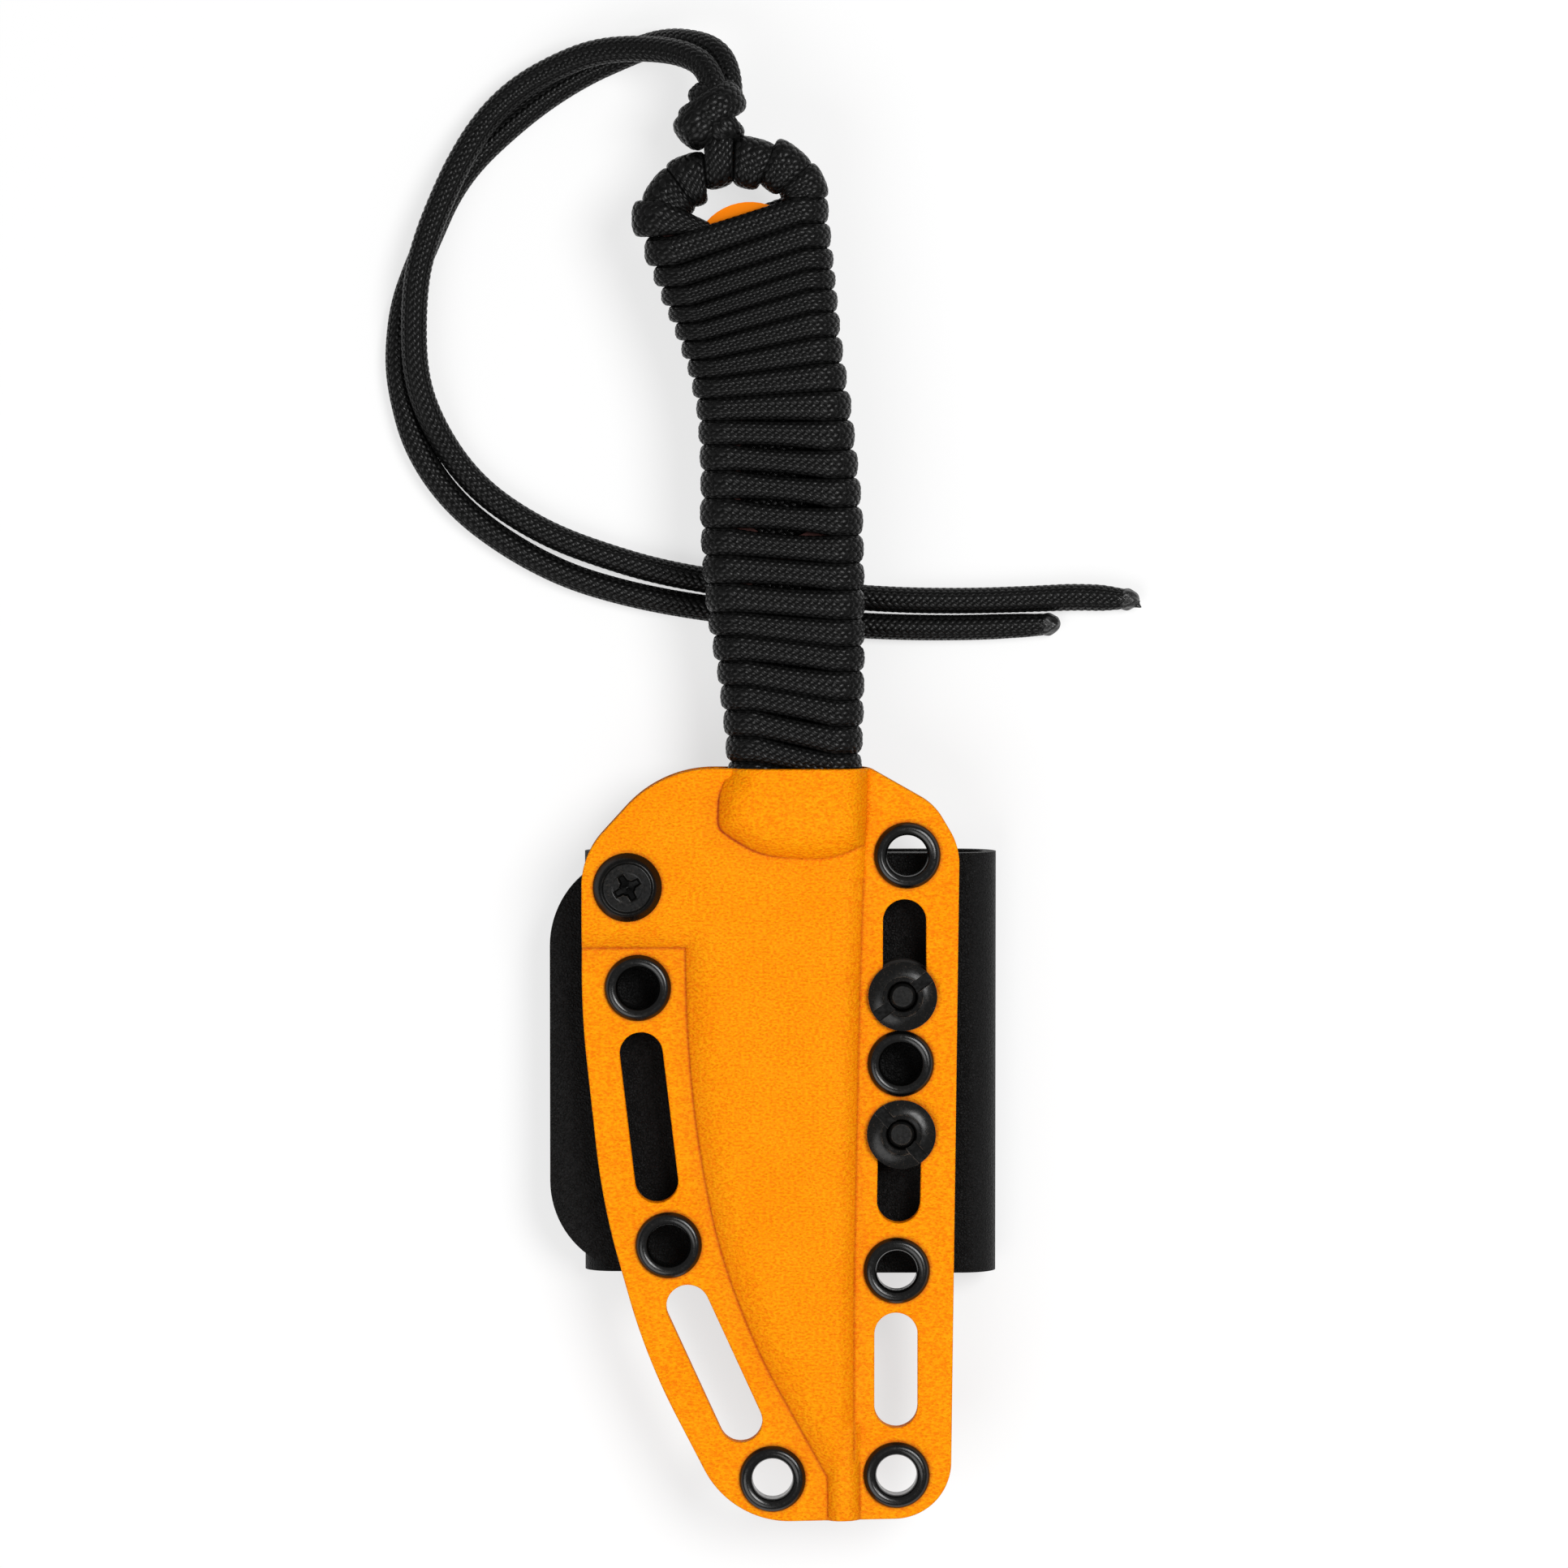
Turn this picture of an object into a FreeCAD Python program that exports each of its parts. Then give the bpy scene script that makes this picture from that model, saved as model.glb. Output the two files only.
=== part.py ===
"""A rigging knife in a moulded two-shell sheath with a folded belt loop and a cord lanyard.

The frame is in millimetres: the belt loop lies on z = 0 with its centre at the origin, +X is to the
right, +Y runs towards the butt of the handle and +Z is out of the front of the sheath.
"""
import FreeCAD, Part
import math
import os
import re
import Sketcher
from FreeCAD import Placement, Rotation, Vector

SIZES = {
    # Belt loop: one strip folded twice, its ends lapped under the sheath
    "loop_thickness": 2.0,
    "loop_width": 66.4,
    "loop_right": 26.85,
    "loop_left": 27.9,
    "belt_gap": 5.2,
    "lap_gap": 0.1,
    "lap_end": 24.0,
    "tongue_reach": 37.9,
    "tongue_round": 14.6,
    # Sheath: two formed shells that meet on the middle plane
    "shell_wall": 1.6,
    "pocket_raise": 1.85,
    "side_clear": 0.05,
    "step_height": 21.8,
    "step_round": 3.4,
    "throat_centre": 0.75,
    "throat_spread": 5.85,
    "throat_start": 38.2,
    "wrap_clear": 0.2,
    "drain_centre": 8.55,
    "drain_start": -50.0,
    "drain_half": 2.0,
    "drain_height": 1.5,
    "slot_width": 6.8,
    # Eyelets that rivet the shells together
    "eyelet_bore": 3.18,
    "eyelet_wall": 0.37,
    "eyelet_flange": 5.2,
    "eyelet_roll": 4.9,
    "eyelet_front": 1.2,
    "eyelet_back": 1.1,
    "eyelet_dome": 0.5,
    "rivet_clear": 0.05,
    # Posts, screws and spacers
    "spacer_height": 4.0,
    "spacer_radius": 5.5,
    "post_radius": 3.0,
    "post_clear": 0.1,
    "post_gap": 0.2,
    "post_head": 5.4,
    "post_rim": 0.9,
    "post_dome": 0.7,
    "post_ring": 3.2,
    "post_ring_wall": 0.6,
    "post_ring_rise": 0.5,
    "driver_slot": 1.2,
    "driver_depth": 0.8,
    "screw_radius": 2.05,
    "screw_clear": 0.08,
    "screw_point": 0.45,
    "screw_end": 0.9,
    "truss_radius": 4.8,
    "truss_height": 1.8,
    "truss_rim": 0.7,
    "flat_head": 3.85,
    "flat_rim": 0.2,
    "cross_length": 4.2,
    "cross_width": 1.0,
    "cross_depth": 1.3,
    "washer_radius": 5.4,
    "washer_height": 1.85,
    "washer_rim": 0.5,
    "washer_land": 0.65,
    "retention_flange": 5.0,
    "retention_flange_height": 1.4,
    "grommet_radius": 5.0,
    "screw_reach": 6.1,
    # Knife
    "blade_stock": 3.2,
    "edge_thickness": 0.4,
    "bevel_width": 10.0,
    "bevel_top": 26.0,
    "grip_start": 38.5,
    "wrap_turn": 3.0,
    "ring_width": 3.0,
    "ring_turn": 2.25,
    "ring_turn_round": 1.2,
    # Lanyard
    "cord_radius": 2.03,
    "loop_cord_radius": 1.9,
    "loop_slack": 0.2,
    "knot_radius": 5.45,
    "knot_depth": 5.0,
    "knot_reach": 5.5,
    "tip_bulge": 0.2,
    "tip_length": 3.0,
}

doc = FreeCAD.newDocument("rigging_knife")
sheet = doc.addObject("Spreadsheet::Sheet", "sizes")
for row, (alias, number) in enumerate(SIZES.items(), start=1):
    sheet.set(f"A{row}", alias)
    sheet.set(f"B{row}", str(number))
    sheet.setAlias(f"B{row}", alias)
doc.recompute()


def formula(text):
    """The expression with each size's name pointed at the spreadsheet."""
    return re.sub(r"[a-z_]+", lambda word: f"sizes.{word[0]}" if word[0] in SIZES else word[0], text)


def number(text):
    """The value of an expression in millimetres."""
    return float(sheet.evalExpression(formula(text)))


def bind(item, prop, text):
    """Ties one property to the spreadsheet."""
    item.setExpression(prop, formula(text))


# Heights of the stack above the face that the belt loop lies on
LAP_BOTTOM = "(loop_thickness + belt_gap)"
LAP_TOP = f"({LAP_BOTTOM} + loop_thickness)"
TONGUE_BOTTOM = f"({LAP_TOP} + lap_gap)"
LOOP_TOP = f"({TONGUE_BOTTOM} + loop_thickness)"
BACK_FACE = f"({LOOP_TOP} + spacer_height)"
MIDDLE = f"({BACK_FACE} + shell_wall)"
FRONT_FACE = f"({MIDDLE} + shell_wall)"
RISE = "(pocket_raise + shell_wall)"
PLATEAU = f"({MIDDLE} + {RISE})"
BACK_PLATEAU = f"({MIDDLE} - {RISE})"
# How far a wall's outer slope stands out from its inner slope at the same height
SLOPE_WALL = "(shell_wall * 1.41421356)"
THROAT_INNER = "(blade_stock / 2 + wrap_turn + wrap_clear)"
SLOT_HALF = "(slot_width / 2)"

middle = number(MIDDLE)
FAR = 12.0

# Outlines: corners as (x, y, radius of the rounding)
MOUTH, FOOT_LEFT, FOOT_RIGHT = 47.0, -71.9, -71.1
SHEATH = [
    (-19.7, MOUTH, 20.0), (-32.7, 33.6, 12.0), (-32.7, 10.1, 160.0), (-27.4, -33.6, 100.0),
    (-9.8, FOOT_LEFT, 17.0), (25.2, FOOT_RIGHT, 9.0), (26.6, 38.2, 10.0), (11.6, MOUTH, 3.0),
]
SPINE_TOP = (9.3, 70.0)
TIP = (7.3, -61.5)
BELLY = [(-2.6, -46.0, 90.0), (-9.6, -25.0, 100.0), (-13.3, 5.0, 110.0)]
EDGE_X = BELLY[-1][0]
OUTSIDE = 50.0
POCKET = [
    (*SPINE_TOP, 0.0), (*TIP, 0.6), *BELLY,
    (EDGE_X, number("step_height"), number("step_round")),
    (-OUTSIDE, number("step_height"), 0.0), (-OUTSIDE, SPINE_TOP[1], 0.0),
]
RING_RIGHT, RING_TOP, RING_LEFT = (3.2, 143.9, 6.5), (-8.0, 143.9, 20.0), (-22.0, 136.7, 3.5)
KNIFE = [
    (*TIP, 0.6), (*SPINE_TOP, 150.0), RING_RIGHT, RING_TOP, RING_LEFT,
    (-11.1, 102.5, 30.0), (-10.9, 74.5, 25.0), (-7.3, 52.0, 25.0), (-6.6, 41.5, 3.0),
    (-16.6, 38.2, 1.8), (-16.6, 31.2, 1.8), (-9.2, 29.8, 1.5), (-9.2, 26.2, 1.5),
    (EDGE_X, 26.2, 0.6), *reversed(BELLY),
]
TANG_HOLE_UPPER = [(5.3, 103.0, 4.0), (-7.8, 103.0, 4.0), (-7.8, 83.0, 6.0), (5.3, 83.0, 6.0)]
TANG_HOLE_LOWER = [(5.5, 79.5, 5.0), (-7.0, 79.5, 5.0), (-3.9, 60.0, 60.0), (-2.2, 46.0, 2.5), (4.6, 46.0, 2.5)]
# The grip's two sides at heights up the handle: (y, left x, right x)
GRIP = [
    (47.0, -9.7, 11.2), (60.0, -11.3, 11.7), (72.0, -13.4, 11.9), (85.0, -14.1, 11.4), (97.0, -14.2, 10.2),
    (108.0, -16.4, 9.0), (118.0, -19.3, 8.1), (129.0, -22.7, 7.0), (141.0, -26.0, 5.2),
]
GRIP_END_LEFT, GRIP_END_RIGHT = (-26.0, 129.1), (7.0, 136.8)
CRESCENT_CENTRE, CRESCENT_RADIUS = (-6.3, 126.3), 9.1
RING_FOOT = 115.0
LANYARD_SEAT = (-10.95, 140.65)
LANYARD_LEAN = math.radians(19.0)
KNOT = (-12.4, 149.2)

EYELETS = {
    "eyelet_right_1": (18.3, 33.3), "eyelet_right_2": (17.3, 0.6), "eyelet_right_3": (16.7, -32.0),
    "eyelet_right_4": (16.7, -64.3), "eyelet_left_1": (-23.9, 12.5), "eyelet_left_2": (-19.1, -28.0),
    "eyelet_left_3": (-2.8, -64.9),
}
SLOTS = {
    "slot_right_upper": ((17.9, 23.0), (17.9, 11.0)), "slot_right_middle": ((17.2, -9.8), (17.0, -21.2)),
    "slot_right_lower": ((16.6, -42.1), (16.6, -53.5)), "slot_left_upper": ((-23.4, 2.1), (-21.0, -18.0)),
    "slot_left_lower": ((-16.1, -37.7), (-7.8, -55.8)),
}
# Mounting posts as (x, y, angle of the driver slot)
POSTS = {"upper": (17.6, 11.2, 37.0), "lower": (17.4, -10.5, -48.0)}
RETENTION = (-25.5, 28.4)
RETENTION_TURN = 30.0

floor = number("cord_radius") + 0.07
LONG_STRAND = [
    (-12.5, 152.6, 18.0), (-14.4, 156.6, 16.0), (-18.9, 159.6, 13.0), (-24.2, 160.5, 10.0),
    (-30.4, 159.8, 7.6), (-36.6, 156.8, 6.0), (-42.9, 152.8, 4.4), (-47.9, 147.9, 3.6),
    (-52.0, 142.1, 5.0), (-55.1, 136.4, 6.3), (-57.5, 130.2, 7.2), (-59.3, 124.0, 6.8),
    (-59.7, 115.8, 5.8), (-59.5, 108.5, 4.9), (-57.6, 102.4, 3.6), (-53.9, 95.6, floor),
    (-49.3, 90.2, floor), (-43.6, 86.1, floor), (-36.8, 82.3, floor), (-28.5, 79.2, floor),
    (-20.9, 77.0, floor), (-12.0, 75.2, floor), (-2.5, 73.8, floor), (7.5, 72.9, floor),
    (17.5, 72.2, floor), (28.4, 72.0, floor), (38.0, 72.2, floor), (46.6, 72.7, floor),
    (52.4, 72.4, floor),
]
SHORT_STRAND = [
    (-9.2, 152.6, 15.2), (-9.4, 156.4, 13.8), (-12.0, 160.4, 11.4), (-16.9, 162.2, 8.0),
    (-21.4, 161.0, 4.9), (-26.4, 157.6, 2.8), (-32.6, 154.0, floor), (-38.9, 149.6, floor),
    (-44.5, 144.8, floor), (-49.0, 139.9, floor), (-52.4, 134.9, floor), (-55.6, 129.9, floor),
    (-58.9, 124.9, floor), (-61.7, 119.6, floor), (-63.1, 113.9, floor), (-63.2, 108.6, floor),
    (-62.0, 103.2, floor), (-60.0, 97.6, floor), (-56.6, 91.8, floor), (-52.0, 86.5, floor),
    (-46.7, 81.9, floor), (-40.7, 78.2, floor), (-34.2, 75.1, floor), (-26.6, 72.5, floor),
    (-18.9, 70.7, floor), (-11.6, 69.6, floor), (-2.5, 68.6, floor), (7.5, 68.0, floor),
    (17.5, 67.75, floor), (27.5, 67.65, floor), (34.6, 67.9, floor), (39.9, 68.2, floor),
]
BEND_SHARE = 0.45
# Share of a square corner's side that a full bend takes up
BEND_FULL = 0.95
CORD_SIDES = 12


def side(a, b):
    """Unit direction from a to b in the plane."""
    return Vector(b[0] - a[0], b[1] - a[1], 0).normalize()


def rounded(corners):
    """Closed wire on z = 0 through (x, y, radius) corners, each rounded by a tangent arc."""
    stations = []
    for index, (x, y, radius) in enumerate(corners):
        here = Vector(x, y, 0)
        back = side(corners[index], corners[index - 1])
        ahead = side(corners[index], corners[(index + 1) % len(corners)])
        half = back.getAngle(ahead) / 2
        if radius == 0:
            stations.append((here, None, here))
            continue
        reach = radius / math.tan(half)
        bisector = (back + ahead).normalize()
        crown = here + bisector * (radius / math.sin(half) - radius)
        stations.append((here + back * reach, crown, here + ahead * reach))
    edges = []
    for index, (start, crown, end) in enumerate(stations):
        if crown is not None:
            edges.append(Part.Arc(start, crown, end).toShape())
        following = stations[(index + 1) % len(stations)][0]
        if end.distanceToPoint(following) > 1e-6:
            edges.append(Part.LineSegment(end, following).toShape())
    return Part.Wire(edges)


def grown(corners, distance):
    """The same outline with every side moved outwards by a distance, or inwards if it is negative."""
    turn = sum(a[0] * b[1] - b[0] * a[1] for a, b in zip(corners, corners[1:] + corners[:1]))
    outward = 1 if turn > 0 else -1
    moved = []
    for index, (x, y, radius) in enumerate(corners):
        arriving = side(corners[index - 1], corners[index])
        leaving = side(corners[index], corners[(index + 1) % len(corners)])
        first = Vector(arriving.y, -arriving.x, 0) * outward
        second = Vector(leaving.y, -leaving.x, 0) * outward
        shift = (first + second) * (distance / (1 + first.dot(second)))
        bulging = arriving.cross(leaving).z * outward > 0
        new_radius = max(radius + (distance if bulging else -distance), 0.01) if radius else 0.0
        moved.append((x + shift.x, y + shift.y, new_radius))
    return moved


def profile(name, wire, height="0"):
    """A wire kept in the document, lying at a height."""
    item = doc.addObject("Part::Feature", name)
    item.Shape = wire
    bind(item, "Placement.Base.z", height)
    return item


def prism(name, wire, low, high):
    """A straight extrusion of a flat wire between two heights."""
    item = doc.addObject("Part::Extrusion", name)
    item.Base = profile(name + "_wire", wire, low)
    item.DirMode = "Custom"
    item.Dir = Vector(0, 0, 1)
    item.Solid = True
    bind(item, "LengthFwd", f"{high} - {low}")
    return item


def slope(name, corners, low, high, grow_low, grow_high):
    """A ruled loft between one outline grown by two distances at two heights."""
    item = doc.addObject("Part::Loft", name)
    item.Sections = [
        profile(f"{name}_{end}", rounded(grown(corners, number(grow))), height)
        for end, grow, height in (("low", grow_low, low), ("high", grow_high, high))
    ]
    item.Solid = True
    item.Ruled = True
    return item


def box(name, x, y, z, length, width, height):
    """A block from one corner; every argument is an expression."""
    item = doc.addObject("Part::Box", name)
    for prop, text in (("Placement.Base.x", x), ("Placement.Base.y", y), ("Placement.Base.z", z),
                       ("Length", length), ("Width", width), ("Height", height)):
        bind(item, prop, text)
    return item


def rod(name, start, axis, radius, length):
    """A cylinder from a start point along an axis; radius and length are expressions."""
    item = doc.addObject("Part::Cylinder", name)
    item.Placement = Placement(Vector(*start), Rotation(Vector(0, 0, 1), Vector(*axis)))
    bind(item, "Radius", radius)
    bind(item, "Height", length)
    return item


def joined(name, items):
    """One solid fused from several."""
    item = doc.addObject("Part::MultiFuse", name)
    item.Shapes = items
    item.Refine = True
    return item


def shared(name, items):
    """What several solids have in common."""
    item = doc.addObject("Part::MultiCommon", name)
    item.Shapes = items
    item.Refine = True
    return item


def cut(name, base, tool):
    """A solid less another."""
    item = doc.addObject("Part::Cut", name)
    item.Base = base
    item.Tool = tool
    item.Refine = True
    return item


def plane(body, role):
    """One of a body's own origin planes."""
    return next(item for item in body.Origin.OriginFeatures if item.Role == role)


def turned(label, outline, x, y, z):
    """A turned body: an outline of (radius, height) expressions revolved about its own Z and set at x, y, z."""
    body = doc.addObject("PartDesign::Body", label)
    sketch = body.newObject("Sketcher::SketchObject", label + "_outline")
    sketch.AttachmentSupport = [(plane(body, "XZ_Plane"), "")]
    sketch.MapMode = "FlatFace"
    points = [Vector(number(radius), number(height), 0) for radius, height in outline]
    count = len(points)
    for index, point in enumerate(points):
        sketch.addGeometry(Part.LineSegment(point, points[(index + 1) % count]), False)
    for index in range(count):
        sketch.addConstraint(Sketcher.Constraint("Coincident", index, 2, (index + 1) % count, 1))
    for index, texts in enumerate(outline):
        for kind, axis_id, text, value in (("DistanceX", -2, texts[0], points[index].x),
                                           ("DistanceY", -1, texts[1], points[index].y)):
            if text == "0":
                sketch.addConstraint(Sketcher.Constraint("PointOnObject", index, 1, axis_id))
                continue
            place = sketch.addConstraint(Sketcher.Constraint(kind, -1, 1, index, 1, value))
            sketch.setExpression(f"Constraints[{place}]", formula(text))
    solid = body.newObject("PartDesign::Revolution", label + "_turned")
    solid.Profile = sketch
    solid.ReferenceAxis = (sketch, ["V_Axis"])
    solid.Angle = 360.0
    for prop, text in (("x", x), ("y", y), ("z", z)):
        bind(body, "Placement.Base." + prop, text)
    doc.recompute()
    return body


def recess(body, wires, height, depth, turn=0.0, upwards=False):
    """Cuts flat wires into a body from a height, down by default."""
    sketch = body.newObject("Sketcher::SketchObject", body.Label + "_recess")
    sketch.AttachmentSupport = [(plane(body, "XY_Plane"), "")]
    sketch.MapMode = "FlatFace"
    sketch.AttachmentOffset = Placement(Vector(0, 0, number(height)), Rotation(Vector(0, 0, 1), turn))
    bind(sketch, "AttachmentOffset.Base.z", height)
    for loop in wires:
        first = sketch.GeometryCount
        for index, point in enumerate(loop):
            sketch.addGeometry(Part.LineSegment(Vector(*point, 0), Vector(*loop[(index + 1) % len(loop)], 0)), False)
        for index in range(len(loop)):
            sketch.addConstraint(Sketcher.Constraint(
                "Coincident", first + index, 2, first + (index + 1) % len(loop), 1))
    before = body.Shape.Volume
    pocket = body.newObject("PartDesign::Pocket", body.Label + "_pocket")
    pocket.Profile = sketch
    pocket.Type = "Length"
    pocket.Reversed = upwards
    bind(pocket, "Length", depth)
    body.Tip = pocket
    doc.recompute()
    if body.Shape.Volume >= before:
        raise RuntimeError(f"{body.Label}: the recess cut nothing")
    return body


def cross(length, width):
    """The outline of a cross-shaped driver recess."""
    reach, half = length / 2, width / 2
    arm = [(half, half), (half, reach), (-half, reach)]
    return [(c * x - s * y, s * x + c * y)
            for c, s in ((1, 0), (0, 1), (-1, 0), (0, -1)) for x, y in arm]


def route(points, radii=None):
    """Straight runs joined by tangent arcs: the largest that the runs allow, or given ones."""
    places = [Vector(*point) for point in points]
    edges, tightest, start = [], math.inf, places[0]
    for index in range(1, len(places) - 1):
        before, here, after = places[index - 1:index + 2]
        back, ahead = (before - here), (after - here)
        half_turn = (math.pi - back.getAngle(ahead)) / 2
        if radii:
            radius = radii[index - 1]
        else:
            radius = BEND_SHARE * min(back.Length, ahead.Length) / math.tan(half_turn)
        tightest = min(tightest, radius)
        reach = radius * math.tan(half_turn)
        back.normalize()
        ahead.normalize()
        bisector = (back + ahead).normalize()
        first, last = here + back * reach, here + ahead * reach
        crown = here + bisector * (radius / math.cos(half_turn) - radius)
        edges.append(Part.LineSegment(start, first).toShape())
        edges.append(Part.Arc(first, crown, last).toShape())
        start = last
    edges.append(Part.LineSegment(start, places[-1]).toShape())
    return Part.Wire(edges), tightest


def tube(label, points, radius, radii=None):
    """A cord with a many-sided section of a round one's area, its volume compared with section times length."""
    path, tightest = route(points, radii)
    start, heading = path.Edges[0].valueAt(path.Edges[0].FirstParameter), Vector(*points[1]) - Vector(*points[0])
    corner = radius * math.sqrt(math.tau / CORD_SIDES / math.sin(math.tau / CORD_SIDES))
    level = heading.cross(Vector(0, 0, 1)).normalize()
    turns = [Rotation(heading, 360 / CORD_SIDES * (index + 0.5)) for index in range(CORD_SIDES + 1)]
    section = Part.makePolygon([start + turn.multVec(level * corner) for turn in turns])
    faces = [Part.Face(section)]
    for edge in path.Edges:
        if isinstance(edge.Curve, Part.Line):
            run = section.extrude(edge.valueAt(edge.LastParameter) - edge.valueAt(edge.FirstParameter))
            section.translate(edge.valueAt(edge.LastParameter) - edge.valueAt(edge.FirstParameter))
        else:
            turn = math.degrees(edge.LastParameter - edge.FirstParameter)
            run = section.revolve(edge.Curve.Center, edge.Curve.Axis, turn)
            section.rotate(edge.Curve.Center, edge.Curve.Axis, turn)
        faces += run.Faces
    faces.append(Part.Face(section))
    skin = Part.Compound(faces)
    skin.sewShape()
    solid = Part.Solid(skin)
    expected = math.pi * radius ** 2 * path.Length
    if abs(solid.Volume - expected) > 0.01 * expected:
        raise RuntimeError(f"{label}: the cord's volume is {solid.Volume:.0f}, not {expected:.0f}")
    print(f"{label}: {path.Length:.0f} mm long, tightest bend {tightest:.1f} mm")
    item = doc.addObject("Part::Feature", label)
    item.Shape = solid
    return item


def at_height(a, b, y):
    """The point at height y on the line through a and b."""
    share = (y - a[1]) / (b[1] - a[1])
    return (a[0] + share * (b[0] - a[0]), y)


def belt_loop():
    """One strip wound from the tongue round the right fold, along the back and round the left fold."""
    right, left, reach = number("loop_right"), number("loop_left"), number("tongue_reach")
    thick, end = number("loop_thickness"), number("lap_end")
    lap_low, lap_high = number(LAP_BOTTOM), number(LAP_TOP)
    low, high = number(TONGUE_BOTTOM), number(LOOP_TOP)
    wide, narrow = (low - thick) / 2, (lap_low - thick) / 2
    # Each entry is a point, and a second pair of numbers is a point on the arc that leads to it
    strip = [
        (-reach, low), (right, low), (right, thick, right + wide, thick + wide), (-left, thick),
        (-left, lap_low, -left - narrow, thick + narrow), (end, lap_low), (end, lap_high), (-left, lap_high),
        (-left, 0, -left - narrow - thick, lap_high / 2), (right, 0),
        (right, high, right + wide + thick, high / 2), (-reach, high),
    ]
    edges = []
    for index, entry in enumerate(strip):
        start = Vector(strip[index - 1][0], 0, strip[index - 1][1])
        end_point = Vector(entry[0], 0, entry[1])
        if len(entry) == 4:
            edges.append(Part.Arc(start, Vector(entry[2], 0, entry[3]), end_point).toShape())
        else:
            edges.append(Part.LineSegment(start, end_point).toShape())
    section = doc.addObject("Part::Feature", "belt_loop_section")
    section.Shape = Part.Wire(edges)
    strap = doc.addObject("Part::Extrusion", "belt_loop_strip")
    strap.Base = section
    strap.DirMode = "Custom"
    strap.Dir = Vector(0, 1, 0)
    strap.Solid = True
    bind(strap, "LengthFwd", "loop_width / 2")
    bind(strap, "LengthRev", "loop_width / 2")
    trims = []
    for name, sign in (("upper", 1), ("lower", -1)):
        corner = box(f"tongue_corner_{name}", "-tongue_reach - 1",
                     "loop_width / 2 - tongue_round" if sign > 0 else "-loop_width / 2 - 1",
                     f"{LAP_TOP} + lap_gap / 2", "tongue_round + 1", "tongue_round + 1", "loop_thickness + lap_gap")
        centre = (number("tongue_round - tongue_reach"), sign * number("loop_width / 2 - tongue_round"), 0)
        trims.append(cut(f"tongue_trim_{name}", corner,
                         rod(f"tongue_round_{name}", centre, (0, 0, 1), "tongue_round", f"{LOOP_TOP} + loop_thickness")))
    for name, (x, y, _turn) in POSTS.items():
        trims.append(rod(f"loop_hole_{name}", (x, y, number(LAP_BOTTOM) - 1), (0, 0, 1),
                         "screw_radius + post_gap", f"{LOOP_TOP} - {LAP_BOTTOM} + 2"))
    return cut("belt_loop", strap, joined("belt_loop_trims", trims))


def throat(name, radius):
    """The round-bottomed channel for the grip: a capsule swept from its start out past the mouth."""
    reach = number(radius)
    spread, centre, start = number("throat_spread"), number("throat_centre"), number("throat_start")
    pieces = [rod(name + "_end", (centre - spread, start, middle), (1, 0, 0), radius, "2 * throat_spread")]
    for tag, x in (("left", centre - spread), ("right", centre + spread)):
        ball = doc.addObject("Part::Sphere", f"{name}_ball_{tag}")
        ball.Placement = Placement(Vector(x, start, middle), Rotation(Vector(1, 0, 0), 90))
        bind(ball, "Radius", radius)
        pieces += [ball, rod(f"{name}_side_{tag}", (x, start, middle), (0, 1, 0), radius, f"{FAR} * 2")]
    pieces.append(box(name + "_flat", "throat_centre - throat_spread", "throat_start", f"{MIDDLE} - {reach}",
                      "2 * throat_spread", f"{FAR} * 2", f"2 * {reach}"))
    return joined(name, pieces)


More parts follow.
